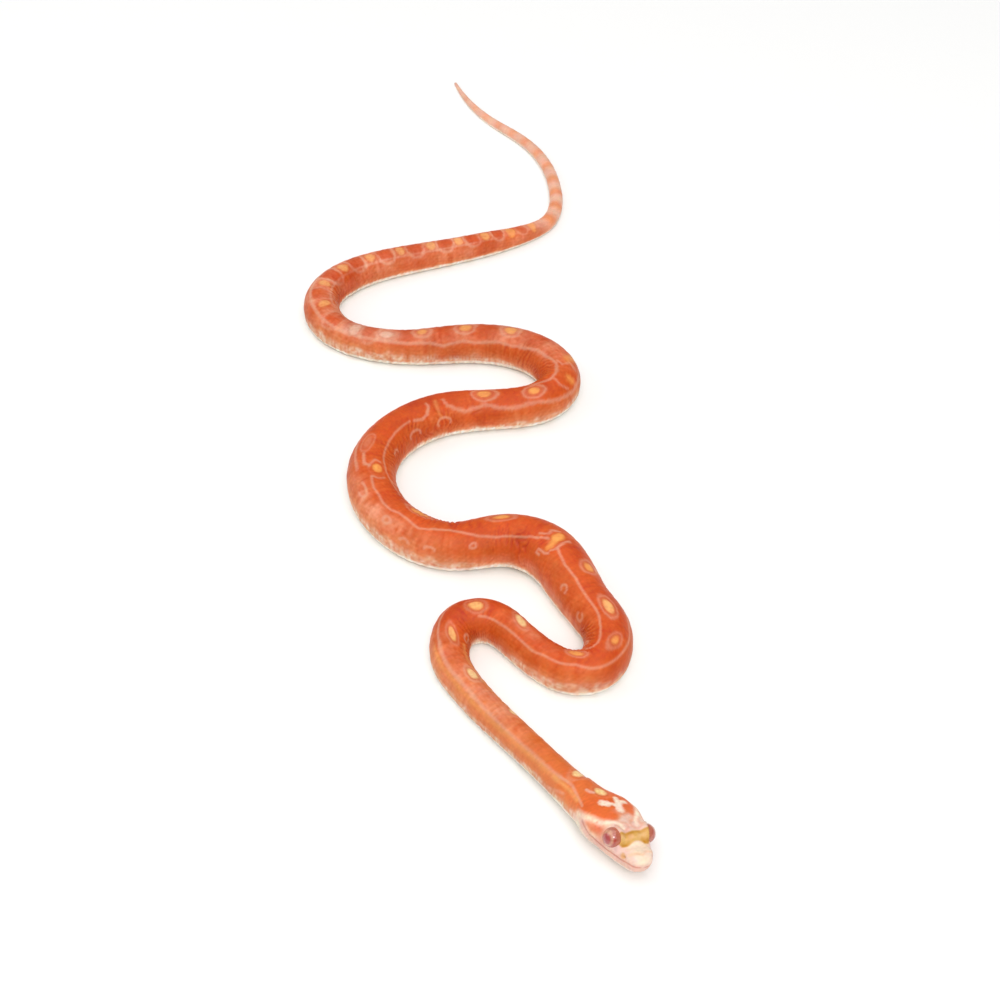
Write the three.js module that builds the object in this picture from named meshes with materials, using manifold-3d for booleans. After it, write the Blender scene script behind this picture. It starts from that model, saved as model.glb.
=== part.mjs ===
// Corn snake of the scaleless kind, life size, lying on the floor in a row of open bends with its head a little raised.
// Millimetres, +Z up. The head points towards -Y, and the origin is on the floor under the middle of the whole animal.
// The animal is one sweep along its spine: at every distance from the snout there is one cross-section, set upright on
// the spine's path. The sweep is parted into head, lower jaw, eyes, neck, six lengths of trunk and two of tail.
import * as THREE from "three";
import { mergeVertices } from "three/addons/utils/BufferGeometryUtils.js";
import Module from "manifold-3d";

const wasm = await Module();
wasm.setup();

// Where the spine passes over the floor, from the snout tip to the tail tip.
const SPINE_PATH = [
  [31.95, 238.7], [26.7, 249.8], [19.6, 258.0], [9.6, 270.6], [-0.7, 283.6], [-8.9, 295.1], [-12.3, 302.4],
  [-12.6, 308.1], [-10.2, 313.5], [-2.5, 315.1], [4.1, 309.8], [11.3, 302.0], [17.7, 298.3], [23.5, 299.1],
  [26.8, 304.2], [27.0, 311.5], [22.9, 320.0], [18.6, 328.8], [13.7, 337.3], [2.2, 343.0], [-11.7, 342.0],
  [-25.1, 348.0], [-33.1, 358.8], [-35.7, 372.2], [-30.9, 385.5], [-18.0, 396.0], [-0.5, 399.4], [12.7, 403.2],
  [17.4, 410.6], [14.7, 420.2], [5.4, 427.3], [-10.2, 430.0], [-26.1, 428.9], [-39.4, 431.0], [-49.2, 436.5],
  [-54.5, 444.7], [-55.0, 454.0], [-48.3, 464.5], [-36.0, 472.2], [-21.0, 477.8], [-6.4, 483.4], [7.6, 490.7],
  [15.2, 497.6], [18.4, 506.6], [18.7, 518.1], [16.4, 531.8], [8.9, 548.3], [-2.7, 562.4], [-11.9, 578.0],
  [-17.4, 593.8],
];
const PATH_MIDDLE = [-12.61, 414.44];

// Half the body's width, by distance from the snout. The head has its own table.
const GIRTH = [
  [22, 4.5], [40, 4.0], [56, 4.15], [70, 4.4], [82, 5.1], [92, 5.6], [108, 5.1], [126, 5.5], [138, 6.2], [153, 6.4],
  [164, 7.1], [174, 7.4], [186, 7.05], [202, 6.6], [218, 6.6], [240, 6.8], [258, 6.6], [276, 6.35], [292, 5.95],
  [309, 6.15], [324, 6.3], [340, 6.2], [358, 5.85], [374, 5.3], [390, 5.05], [406, 5.5], [420, 5.4], [438, 4.95],
  [458, 4.45], [474, 4.0], [486, 3.2], [496, 2.6], [512, 2.2], [536, 1.95], [558, 1.7], [578, 1.3], [592, 0.85],
  [604, 0.35],
];

// The head's outline: distance from the snout, half width, top, bottom, height of the widest line, and how square
// the upper and lower halves are (2 is an ellipse).
const HEAD_OUTLINE = [
  [0.0, 0.80, 3.90, 2.05, 3.00, 2.3, 2.2],
  [0.15, 1.60, 4.45, 1.50, 3.00, 2.6, 2.4],
  [0.6, 2.40, 5.00, 1.00, 3.00, 2.8, 2.5],
  [1.5, 3.05, 5.45, 0.62, 2.90, 3.1, 2.8],
  [2.9, 3.70, 5.70, 0.30, 2.80, 3.3, 3.2],
  [4.4, 4.20, 5.55, 0.05, 2.75, 3.1, 3.6],
  [5.8, 4.75, 5.85, -0.05, 2.75, 2.9, 3.8],
  [7.6, 5.50, 6.75, -0.10, 2.85, 2.8, 3.8],
  [9.6, 6.15, 7.45, -0.10, 3.00, 2.7, 3.6],
  [11.9, 6.85, 7.90, -0.05, 3.10, 2.6, 3.3],
  [14.3, 7.40, 8.20, 0.00, 3.15, 2.5, 3.0],
  [16.6, 7.35, 8.35, 0.00, 3.30, 2.35, 2.8],
  [18.8, 6.50, 8.30, 0.00, 3.30, 2.2, 2.6],
  [21.3, 5.50, 8.25, -0.10, 3.35, 2.05, 2.6],
  [26.0, 4.60, 8.50, -0.34, 3.57, 2.0, 2.6],
];

// The body's cross-section: a loaf, round above and flat where it lies on the floor.
const HEIGHT_PER_WIDTH = [
  [22, 0.93], [80, 0.92], [95, 0.97], [118, 0.93], [140, 0.95], [165, 0.95], [186, 0.90], [204, 0.87], [640, 0.87],
];
const WIDEST_AT = 0.42;
const BELOW_WIDEST = 0.46;
const UPPER_SQUARENESS = 2.0;
const LOWER_SQUARENESS = 2.6;

// The head is raised and leans over to the animal's left, and the neck brings both down to nothing.
const LIFT = [[0, 2.7], [10, 1.7], [22, 1.3], [36, 1.0], [50, 0.5], [64, 0], [166, 0], [187, 1.0], [208, 0], [640, 0]];
const LEAN_DEG = [[0, 19], [20, 17], [34, 11], [50, 4], [64, 0], [640, 0]];

// Where the animal is parted, by distance from the snout, and the gap between two neighbours.
const HEAD_END = 21;
const LENGTHS = [
  ["neck", 84], ["trunk_1", 133], ["trunk_2", 186], ["trunk_3", 241], ["trunk_4", 315], ["trunk_5", 411],
  ["trunk_6", 486], ["tail_base", 538], ["tail_tip", 601],
];
const GAP = 0.3;

// Belly scutes: one plate across the belly for each, its rear edge free and standing off the front of the next.
const SCUTE_LENGTH_PER_GIRTH = 0.34;
const SCUTE_LENGTH_LEAST = 2.7;
const SCUTE_EDGE = 0.07;
const SCUTE_STEP = 0.3;
const SCUTE_RAMP = 0.35;
const FLANK_INSET = 0.35;
const BACK_ANGLES = [112, 90, 68, 46, 23, 0];
const BELLY_ANGLES = [121, 138, 149];

// Eyes, mouth and nostrils, in the head's own frame: back from the snout, out from the middle, up from the chin.
// An eye looks outward, and for each millimetre of that a little forward and upward.
const EYE = { back: 8.5, out: 4.35, up: 4.65, radius: 2.4, gap: 0.2, rimOut: 0.4, lid: 0.38 };
const EYE_LOOK = { forward: 0.2, upward: 0.12 };
const NOSTRIL = { back: 3.2, out: 3.8, up: 3.95, radius: 0.5 };
const MOUTH_LINE = [[-2, 3.6], [0.8, 3.5], [4.7, 2.4], [8.3, 1.85], [11.6, 2.2], [14.8, 3.0]];
const JAW_REAR = [[15.7, 2.6], [16.5, 1.2], [17.0, -2]];

const degrees = THREE.MathUtils.degToRad;

// A cubic spline through (x, y) rows whose ends are free, evaluated at x.
function naturalSpline(xs, ys) {
  const n = xs.length;
  const bend = new Array(n).fill(0);
  const work = new Array(n).fill(0);
  for (let i = 1; i < n - 1; i++) {
    const ratio = (xs[i] - xs[i - 1]) / (xs[i + 1] - xs[i - 1]);
    const p = ratio * bend[i - 1] + 2;
    const slopes = (ys[i + 1] - ys[i]) / (xs[i + 1] - xs[i]) - (ys[i] - ys[i - 1]) / (xs[i] - xs[i - 1]);
    bend[i] = (ratio - 1) / p;
    work[i] = ((6 * slopes) / (xs[i + 1] - xs[i - 1]) - ratio * work[i - 1]) / p;
  }
  for (let i = n - 2; i >= 0; i--) bend[i] = bend[i] * bend[i + 1] + work[i];
  return (x) => {
    let i = 1;
    while (i < n - 1 && xs[i] < x) i++;
    const h = xs[i] - xs[i - 1];
    const a = (xs[i] - x) / h;
    const b = 1 - a;
    const sag = ((a ** 3 - a) * bend[i - 1] + (b ** 3 - b) * bend[i]) * ((h * h) / 6);
    return a * ys[i - 1] + b * ys[i] + sag;
  };
}

// A table read with smooth slopes that never overshoot its rows. Column 0 is the distance.
function tableReader(rows, column = 1) {
  const x = rows.map((r) => r[0]);
  const y = rows.map((r) => r[column]);
  const secant = x.slice(1).map((v, i) => (y[i + 1] - y[i]) / (v - x[i]));
  const slope = y.map((_, i) => {
    if (i === 0 || i === y.length - 1) return 0;
    const [before, after] = [secant[i - 1], secant[i]];
    return before * after <= 0 ? 0 : (2 * before * after) / (before + after);
  });
  slope[0] = secant[0];
  slope[y.length - 1] = secant[secant.length - 1];
  return (at) => {
    const v = THREE.MathUtils.clamp(at, x[0], x[x.length - 1]);
    let i = 0;
    while (i < x.length - 2 && x[i + 1] < v) i++;
    const h = x[i + 1] - x[i];
    const t = (v - x[i]) / h;
    const rise = h * (slope[i] * t * (1 - t) ** 2 - slope[i + 1] * t * t * (1 - t));
    return y[i] + (y[i + 1] - y[i]) * (3 * t * t - 2 * t ** 3) + rise;
  };
}

// The spine as a path over the floor, read by distance from the snout.
function makeSpine() {
  const points = SPINE_PATH.map(([x, y]) => [x - PATH_MIDDLE[0], y - PATH_MIDDLE[1]]);
  const chord = [0];
  for (let i = 1; i < points.length; i++) {
    chord.push(chord[i - 1] + Math.hypot(points[i][0] - points[i - 1][0], points[i][1] - points[i - 1][1]));
  }
  const x = naturalSpline(chord, points.map((p) => p[0]));
  const y = naturalSpline(chord, points.map((p) => p[1]));
  const steps = 6000;
  const travelled = [0];
  const last = chord[chord.length - 1];
  for (let i = 1; i <= steps; i++) {
    const [t0, t1] = [((i - 1) / steps) * last, (i / steps) * last];
    travelled.push(travelled[i - 1] + Math.hypot(x(t1) - x(t0), y(t1) - y(t0)));
  }
  const length = travelled[steps];
  const chordAt = (s) => {
    let low = 0;
    let high = steps;
    while (high - low > 1) {
      const mid = (low + high) >> 1;
      if (travelled[mid] <= s) low = mid;
      else high = mid;
    }
    const share = (s - travelled[low]) / (travelled[high] - travelled[low]);
    return ((low + share) / steps) * last;
  };
  const place = (s) => new THREE.Vector2(x(chordAt(s)), y(chordAt(s)));
  return { length, place };
}

const spine = makeSpine();
const girthAt = tableReader(GIRTH);
const tallnessAt = tableReader(HEIGHT_PER_WIDTH);
const liftAt = tableReader(LIFT);
const leanAt = tableReader(LEAN_DEG);
const headColumns = [1, 2, 3, 4, 5, 6].map((column) => tableReader(HEAD_OUTLINE, column));
const HEAD_BLEND_END = HEAD_OUTLINE[HEAD_OUTLINE.length - 1][0];

// The cross-section's measures at a distance from the snout.
function outlineAt(s) {
  if (s <= HEAD_BLEND_END) {
    const [halfWidth, top, bottom, widest, upper, lower] = headColumns.map((read) => read(s));
    return { halfWidth, top, bottom, widest, upper, lower };
  }
  const halfWidth = girthAt(s);
  const top = 2 * halfWidth * tallnessAt(s);
  const widest = WIDEST_AT * top;
  const bottom = widest - BELOW_WIDEST * top;
  return { halfWidth, top, bottom, widest, upper: UPPER_SQUARENESS, lower: LOWER_SQUARENESS };
}

// A point of the cross-section as [out to the animal's left, up], by its angle from the top of the back.
function sectionPoint(s, angle, inset = 0) {
  const o = outlineAt(s);
  const [side, up] = [Math.sin(angle), Math.cos(angle)];
  const power = up > 0 ? o.upper : o.lower;
  const reach = (Math.abs(side) ** power + Math.abs(up) ** power) ** (-1 / power);
  const across = side * reach * o.halfWidth;
  const rise = up * reach * (up > 0 ? o.top - o.widest : o.widest - o.bottom);
  const height = Math.max(o.widest + rise, 0);
  const distance = Math.hypot(across, height - o.widest);
  const share = 1 - inset / distance;
  return [across * share, o.widest + (height - o.widest) * share];
}

// The frame that a cross-section stands in: its foot on the path, its left and its up, leaned over and lifted.
function frameAt(s) {
  const step = 0.2;
  const [a, b] = [Math.max(s - step, 0), Math.min(s + step, spine.length)];
  const tailward = spine.place(b).sub(spine.place(a)).normalize();
  const left = new THREE.Vector3(-tailward.y, tailward.x, 0).negate();
  const up = new THREE.Vector3(0, 0, 1);
  const foot = spine.place(s);
  return { foot: new THREE.Vector3(foot.x, foot.y, liftAt(s)), left, up, lean: degrees(leanAt(s)) };
}

// Puts a section's point in the world.
function placed(s, [out, height]) {
  const { foot, left, up, lean } = frameAt(s);
  const pivot = outlineAt(s).widest;
  const [c, n] = [Math.cos(lean), Math.sin(lean)];
  const across = out * c + (height - pivot) * n;
  const rise = pivot + (height - pivot) * c - out * n;
  return foot.clone().addScaledVector(left, across).addScaledVector(up, rise);
}

function geometryOf(points, triangles) {
  const geometry = new THREE.BufferGeometry().setFromPoints(points);
  geometry.setIndex(triangles.flat());
  return geometry;
}

// A closed THREE geometry as a solid, turned right side out.
function solidOf(geometry) {
  const bare = geometry.clone();
  bare.deleteAttribute("normal");
  bare.deleteAttribute("uv");
  const merged = mergeVertices(bare, 1e-4);
  const triVerts = new Uint32Array(merged.index.array);
  const make = () =>
    new wasm.Manifold(
      new wasm.Mesh({ numProp: 3, vertProperties: new Float32Array(merged.attributes.position.array), triVerts }),
    );
  const solid = make();
  if (solid.volume() > 0) return solid;
  for (let i = 0; i < triVerts.length; i += 3) {
    [triVerts[i + 1], triVerts[i + 2]] = [triVerts[i + 2], triVerts[i + 1]];
  }
  return make();
}

// The largest closed surface of a solid, as a THREE geometry.
function geometryFrom(solid) {
  const pieces = solid.decompose().sort((a, b) => b.volume() - a.volume());
  const mesh = pieces[0].getMesh();
  const positions = new Float32Array(mesh.numVert * 3);
  for (let i = 0; i < mesh.numVert; i++) {
    positions.set(mesh.vertProperties.subarray(i * mesh.numProp, i * mesh.numProp + 3), i * 3);
  }
  const geometry = new THREE.BufferGeometry();
  geometry.setAttribute("position", new THREE.BufferAttribute(positions, 3));
  geometry.setIndex(new THREE.BufferAttribute(new Uint32Array(mesh.triVerts), 1));
  geometry.computeVertexNormals();
  return geometry;
}

// Joins two columns of points that run tailwards, where the first holds one row and the second may hold more.
function stitch(triangles, short, long) {
  triangles.push([short[0], long[0], long[1]]);
  triangles.push([short[0], long[1], short[1]]);
  for (let i = 1; i < long.length - 1; i++) triangles.push([short[1], long[i], long[i + 1]]);
}

function stitchMirrored(triangles, long, short) {
  triangles.push([long[0], short[0], long[1]]);
  triangles.push([long[1], short[0], short[1]]);
  for (let i = 1; i < long.length - 1; i++) triangles.push([long[i], short[1], long[i + 1]]);
}

// The distances from the snout at which one length's scutes meet.
function scuteEdges(start, end) {
  const mid = girthAt((start + end) / 2);
  const pitch = Math.max(SCUTE_LENGTH_LEAST, 2 * mid * SCUTE_LENGTH_PER_GIRTH);
  const count = Math.max(2, Math.round((end - start) / pitch));
  return Array.from({ length: count + 1 }, (_, i) => start + ((end - start) * i) / count);
}

// One length of the body, with its belly in scutes.
function bodyLength(start, end) {
  const points = [];
  const triangles = [];
  const backAngles = [...BACK_ANGLES.map((a) => -a), ...BACK_ANGLES.slice(0, -1).reverse()].map(degrees);
  const bellyAngles = [...BELLY_ANGLES, ...BELLY_ANGLES.map((a) => 360 - a).reverse()].map(degrees);
  const add = (s, angle, inset) => points.push(placed(s, sectionPoint(s, angle, inset))) - 1;
  const edgeDepth = (s) => SCUTE_EDGE * girthAt(s);
  const back = (s) => {
    const last = backAngles.length - 1;
    return backAngles.map((a, i) => add(s, a, i === 0 || i === last ? FLANK_INSET * edgeDepth(s) : 0));
  };
  const belly = (s, inset) => bellyAngles.map((a) => add(s, a, inset));
  const strip = (a, b) => {
    for (let j = 0; j < a.length - 1; j++) {
      triangles.push([a[j], a[j + 1], b[j + 1]], [a[j], b[j + 1], b[j]]);
    }
  };

  const edges = scuteEdges(start, end);
  let backRow = back(edges[0]);
  let front = belly(edges[0], edgeDepth(edges[0]));
  const firstRing = [...backRow, ...front];
  let lastRing = firstRing;
  for (let i = 1; i < edges.length; i++) {
    const [from, to] = [edges[i - 1], edges[i]];
    const isLast = i === edges.length - 1;
    const ramp = belly(from + (to - from) * SCUTE_RAMP, 0);
    const rear = belly(isLast ? to : to - SCUTE_STEP, 0);
    const nextBack = back(to);
    const rows = [front, ramp, rear];
    if (!isLast) rows.push(belly(to, edgeDepth(to)));
    strip(backRow, nextBack);
    for (let k = 0; k < rows.length - 1; k++) strip(rows[k], rows[k + 1]);
    const lastBack = backRow.length - 1;
    const lastBelly = front.length - 1;
    stitch(triangles, [backRow[lastBack], nextBack[lastBack]], rows.map((r) => r[0]));
    stitchMirrored(triangles, rows.map((r) => r[lastBelly]), [backRow[0], nextBack[0]]);
    backRow = nextBack;
    front = rows[rows.length - 1];
    lastRing = [...nextBack, ...front];
  }
  closeEnds(points, triangles, firstRing, lastRing);
  return solidOf(geometryOf(points, triangles));
}

// Fans over the first and last ring of a sweep.
function closeEnds(points, triangles, firstRing, lastRing) {
  const middleOf = (ring) => {
    const sum = ring.reduce((total, i) => total.add(points[i]), new THREE.Vector3());
    return points.push(sum.divideScalar(ring.length)) - 1;
  };
  const [first, last] = [middleOf(firstRing), middleOf(lastRing)];
  firstRing.forEach((v, j) => triangles.push([v, first, firstRing[(j + 1) % firstRing.length]]));
  lastRing.forEach((v, j) => triangles.push([last, v, lastRing[(j + 1) % lastRing.length]]));
}

const bump = (value, centre, spread) => Math.exp(-(((value - centre) / spread) ** 2));

// How far the head's surface stands off its plain outline: brows, the hollow between brow and snout, the temples
// and the lips.
function headRelief(back, out, up) {
  const side = Math.abs(out);
  const brow = 0.42 * bump(back, 8.4, 2.2) * bump(side, 3.8, 1.2) * bump(up, 6.4, 1.3);
  const hollow = -0.5 * bump(back, 5.2, 1.1) * bump(side, 2.9, 1.7) * bump(up, 5.1, 1.1);
  const saddle = -0.25 * bump(back, 4.9, 0.9) * bump(side, 0, 1.8) * bump(up, 5.4, 0.9);
  const temple = 0.25 * bump(back, 15.4, 2.4) * bump(side, 6.3, 1.5) * bump(up, 4.2, 1.8);
  const lip = 0.18 * bump(up, 2.9, 0.42) * bump(back, 7.2, 6.6);
  const furrow = -0.13 * bump(side, 0, 1.0) * bump(back, 12.9, 3.9) * bump(up, 8.0, 1.1);
  return brow + hollow + saddle + temple + lip + furrow;
}

// The whole head as one sweep, before the jaw, eyes and nostrils are parted from it.
function headSolid(end) {
  const sides = 36;
  const rings = [];
  const points = [];
  const triangles = [];
  const stations = [0, 0.15, 0.35, 0.65, 1.0, 1.45];
  while (stations[stations.length - 1] < end - 0.9) stations.push(stations[stations.length - 1] + 0.62);
  stations.push(end);
  for (const s of stations) {
    const ring = [];
    for (let j = 0; j < sides; j++) {
      const point = sectionPoint(s, (2 * Math.PI * (j + 0.5)) / sides);
      const relief = headRelief(s, point[0], point[1]);
      const centre = outlineAt(s).widest;
      const distance = Math.hypot(point[0], point[1] - centre);
      const share = 1 + relief / distance;
      ring.push(points.push(placed(s, [point[0] * share, centre + (point[1] - centre) * share])) - 1);
    }
    rings.push(ring);
  }
  for (let i = 1; i < rings.length; i++) {
    for (let j = 0; j < sides; j++) {
      const k = (j + 1) % sides;
      triangles.push([rings[i - 1][j], rings[i - 1][k], rings[i][k]], [rings[i - 1][j], rings[i][k], rings[i][j]]);
    }
  }
  closeEnds(points, triangles, rings[0], rings[rings.length - 1]);
  return solidOf(geometryOf(points, triangles));
}

// A sideways slab whose outline is the lower jaw seen from the side, grown by a margin, set in the head's frame.
function jawCutter(margin) {
  const line = tableReader(MOUTH_LINE);
  const outline = [];
  const steps = 14;
  const [front, corner] = [MOUTH_LINE[0][0], MOUTH_LINE[MOUTH_LINE.length - 1][0]];
  for (let i = 0; i <= steps; i++) {
    const back = front + ((corner - front) * i) / steps;
    outline.push([back, line(back) + margin]);
  }
  for (const [back, up] of JAW_REAR) outline.push([back + margin, up]);
  outline.push([front, -2]);
  const reach = 12;
  const points = [];
  for (const out of [-reach, reach]) {
    for (const [back, up] of outline) points.push(placedInHead(back, out, up));
  }
  const n = outline.length;
  const flat = THREE.ShapeUtils.triangulateShape(outline.map(([a, b]) => new THREE.Vector2(a, b)), []);
  const triangles = [];
  for (const [a, b, c] of flat) triangles.push([a, c, b], [a + n, b + n, c + n]);
  for (let i = 0; i < n; i++) {
    const k = (i + 1) % n;
    triangles.push([i, i + n, k], [k, i + n, k + n]);
  }
  return solidOf(geometryOf(points, triangles));
}

// A point given in the straight part of the head's own frame, put in the world.
function placedInHead(back, out, up) {
  const straight = 4;
  const { foot, left, up: rise, lean } = frameAt(straight);
  const tailward = new THREE.Vector3().crossVectors(rise, left);
  const pivot = outlineAt(straight).widest;
  const [c, n] = [Math.cos(lean), Math.sin(lean)];
  return foot
    .clone()
    .addScaledVector(tailward, back - straight)
    .addScaledVector(left, out * c + (up - pivot) * n)
    .addScaledVector(rise, pivot + (up - pivot) * c - out * n);
}

function ball(centre, radius, rows) {
  const geometry = new THREE.SphereGeometry(radius, rows * 2, rows);
  geometry.translate(centre.x, centre.y, centre.z);
  return solidOf(geometry);
}

// The raised skin round an eye: a ball a little larger than the eye, cut off level with the rim of the spectacle.
function eyeLid(side) {
  const radius = EYE.radius + EYE.lid;
  const edge = Math.asin(EYE.rimOut / radius) - 0.06;
  const profile = [new THREE.Vector2(0, EYE.rimOut), new THREE.Vector2(EYE.radius + EYE.gap, EYE.rimOut)];
  const arcs = 10;
  for (let i = 0; i < arcs; i++) {
    const angle = edge - ((edge + Math.PI / 2) * i) / arcs;
    profile.push(new THREE.Vector2(radius * Math.cos(angle), radius * Math.sin(angle)));
  }
  profile.push(new THREE.Vector2(0, -radius));
  const geometry = new THREE.LatheGeometry(profile, 28);
  const centre = placedInHead(EYE.back, side * EYE.out, EYE.up);
  const [ahead, above] = [EYE.back - EYE_LOOK.forward, EYE.up + EYE_LOOK.upward];
  const look = placedInHead(ahead, side * (EYE.out + 1), above).sub(centre).normalize();
  geometry.applyQuaternion(new THREE.Quaternion().setFromUnitVectors(new THREE.Vector3(0, 1, 0), look));
  geometry.translate(centre.x, centre.y, centre.z);
  return solidOf(geometry);
}

const SKIN = new THREE.MeshStandardMaterial({ color: 0xd9703f, roughness: 0.55, metalness: 0 });
const THROAT = new THREE.MeshStandardMaterial({ color: 0xe9b9a2, roughness: 0.55, metalness: 0 });
const EYEBALL = new THREE.MeshStandardMaterial({ color: 0xb4505a, roughness: 0.08, metalness: 0 });

const snake = new THREE.Group();

function addNode(name, solid, material) {
  const mesh = new THREE.Mesh(geometryFrom(solid), material);
  mesh.name = name;
  snake.add(mesh);
}

// Head, lower jaw and eyes.
const SIDES = [["eye_left", 1], ["eye_right", -1]];
let head = headSolid(HEAD_END - GAP / 2);
for (const [, side] of SIDES) head = head.add(eyeLid(side));
let lowerJaw = head.intersect(jawCutter(-GAP / 2));
head = head.subtract(jawCutter(GAP / 2));
for (const [name, side] of SIDES) {
  const centre = placedInHead(EYE.back, side * EYE.out, EYE.up);
  const socket = ball(centre, EYE.radius + EYE.gap, 14);
  head = head.subtract(socket);
  lowerJaw = lowerJaw.subtract(socket);
  head = head.subtract(ball(placedInHead(NOSTRIL.back, side * NOSTRIL.out, NOSTRIL.up), NOSTRIL.radius, 5));
  addNode(name, ball(centre, EYE.radius, 12), EYEBALL);
}
addNode("head", head, SKIN);
addNode("lower_jaw", lowerJaw, THROAT);

// Neck, trunk and tail, one length after another.
let from = HEAD_END;
for (const [name, to] of LENGTHS) {
  addNode(name, bodyLength(from + GAP / 2, to - GAP / 2), SKIN);
  from = to;
}

export default snake;
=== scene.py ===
"""The looks of a scaleless corn snake, life size: its skin and its eyes, with floor, lights and camera.

The plan of the animal is in millimetres and the meshes are in metres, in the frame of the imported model. A
place on the skin is given by its distance from the snout and its angle from the top of the back, positive
on the animal's left.
"""

import logging
import math
from dataclasses import dataclass, field, replace
from enum import Enum
from typing import Callable, Sequence

import bpy
import numpy as np
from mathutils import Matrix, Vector


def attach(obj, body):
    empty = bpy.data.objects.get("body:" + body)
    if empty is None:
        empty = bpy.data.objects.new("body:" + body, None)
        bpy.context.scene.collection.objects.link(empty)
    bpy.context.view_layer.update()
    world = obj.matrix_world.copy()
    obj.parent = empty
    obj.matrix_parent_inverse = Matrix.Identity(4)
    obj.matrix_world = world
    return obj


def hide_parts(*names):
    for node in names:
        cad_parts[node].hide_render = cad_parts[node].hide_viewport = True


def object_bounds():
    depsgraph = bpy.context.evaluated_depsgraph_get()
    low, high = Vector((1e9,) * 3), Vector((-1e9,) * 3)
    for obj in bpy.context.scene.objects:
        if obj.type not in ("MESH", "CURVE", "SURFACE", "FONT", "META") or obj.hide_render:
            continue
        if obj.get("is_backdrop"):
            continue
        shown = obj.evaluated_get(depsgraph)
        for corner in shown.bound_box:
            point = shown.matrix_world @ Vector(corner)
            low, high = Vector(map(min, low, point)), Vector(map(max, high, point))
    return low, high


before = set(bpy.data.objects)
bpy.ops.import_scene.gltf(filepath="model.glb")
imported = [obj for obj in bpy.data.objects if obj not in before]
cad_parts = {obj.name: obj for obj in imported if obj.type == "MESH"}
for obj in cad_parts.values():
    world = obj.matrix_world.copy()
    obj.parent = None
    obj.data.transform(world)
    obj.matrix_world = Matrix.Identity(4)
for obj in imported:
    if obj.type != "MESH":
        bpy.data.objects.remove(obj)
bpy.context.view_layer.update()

LOG = logging.getLogger("corn_snake")
MM = 0.001
BODY = "root"
FLESH_NODES = (
    "head", "lower_jaw", "neck", "trunk_1", "trunk_2", "trunk_3", "trunk_4", "trunk_5", "trunk_6",
    "tail_base", "tail_tip",
)

Array = np.ndarray
Rows = Sequence[Sequence[float]]


def smoothstep(low: float, high: float, x: Array) -> Array:
    """Gives a smooth ramp from 0 at low to 1 at high.

    Args:
        low: Where the ramp starts; it may be above high for a falling ramp.
        high: Where the ramp ends.
        x: The values to read the ramp at.

    Returns:
        The ramp's height at each value.
    """
    t = np.clip((x - low) / (high - low), 0.0, 1.0)
    return t * t * (3.0 - 2.0 * t)


def bump(x: Array, centre: float, spread: float) -> Array:
    """Gives a bell of height 1 at the centre, as wide as its spread."""
    return np.exp(-(((x - centre) / spread) ** 2))


def smooth_max(a: Array, b: Array, radius: float) -> Array:
    """Gives the larger of two heights, with a fillet of about the radius where they meet."""
    blend = np.maximum(radius - np.abs(a - b), 0.0) / radius
    return np.maximum(a, b) + blend * blend * radius * 0.25


def natural_spline(xs: Array, ys: Array) -> Callable[[Array], Array]:
    """Fits a cubic spline with free ends.

    Args:
        xs: Rising positions.
        ys: Heights at those positions.

    Returns:
        A function that reads the spline.
    """
    n = len(xs)
    bend = np.zeros(n)
    work = np.zeros(n)
    for i in range(1, n - 1):
        ratio = (xs[i] - xs[i - 1]) / (xs[i + 1] - xs[i - 1])
        p = ratio * bend[i - 1] + 2.0
        slopes = (ys[i + 1] - ys[i]) / (xs[i + 1] - xs[i]) - (ys[i] - ys[i - 1]) / (xs[i] - xs[i - 1])
        bend[i] = (ratio - 1.0) / p
        work[i] = (6.0 * slopes / (xs[i + 1] - xs[i - 1]) - ratio * work[i - 1]) / p
    for i in range(n - 2, -1, -1):
        bend[i] = bend[i] * bend[i + 1] + work[i]

    def read(x: Array) -> Array:
        """Reads the spline.

        Args:
            x: Where to read it.

        Returns:
            Its height there.
        """
        i = np.clip(np.searchsorted(xs, x), 1, n - 1)
        h = xs[i] - xs[i - 1]
        a = (xs[i] - x) / h
        b = 1.0 - a
        sag = ((a**3 - a) * bend[i - 1] + (b**3 - b) * bend[i]) * h * h / 6.0
        return a * ys[i - 1] + b * ys[i] + sag

    return read


def table_reader(rows: Rows, column: int = 1) -> Callable[[Array], Array]:
    """Reads a table with smooth slopes that never overshoot its rows.

    Args:
        rows: The table, with the distance in its first column.
        column: Which column to read.

    Returns:
        A function of the distance.
    """
    x = np.array([row[0] for row in rows], float)
    y = np.array([row[column] for row in rows], float)
    secant = np.diff(y) / np.diff(x)
    slope = np.zeros(len(x))
    for i in range(1, len(x) - 1):
        product = secant[i - 1] * secant[i]
        slope[i] = 0.0 if product <= 0 else 2.0 * product / (secant[i - 1] + secant[i])
    slope[0] = secant[0]
    slope[-1] = secant[-1]

    def read(at: Array) -> Array:
        """Reads the table.

        Args:
            at: Distances.

        Returns:
            The column's values there.
        """
        v = np.clip(at, x[0], x[-1])
        i = np.clip(np.searchsorted(x, v, side="left") - 1, 0, len(x) - 2)
        h = x[i + 1] - x[i]
        t = (v - x[i]) / h
        rise = h * (slope[i] * t * (1 - t) ** 2 - slope[i + 1] * t * t * (1 - t))
        return y[i] + (y[i + 1] - y[i]) * (3 * t * t - 2 * t**3) + rise

    return read


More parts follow.
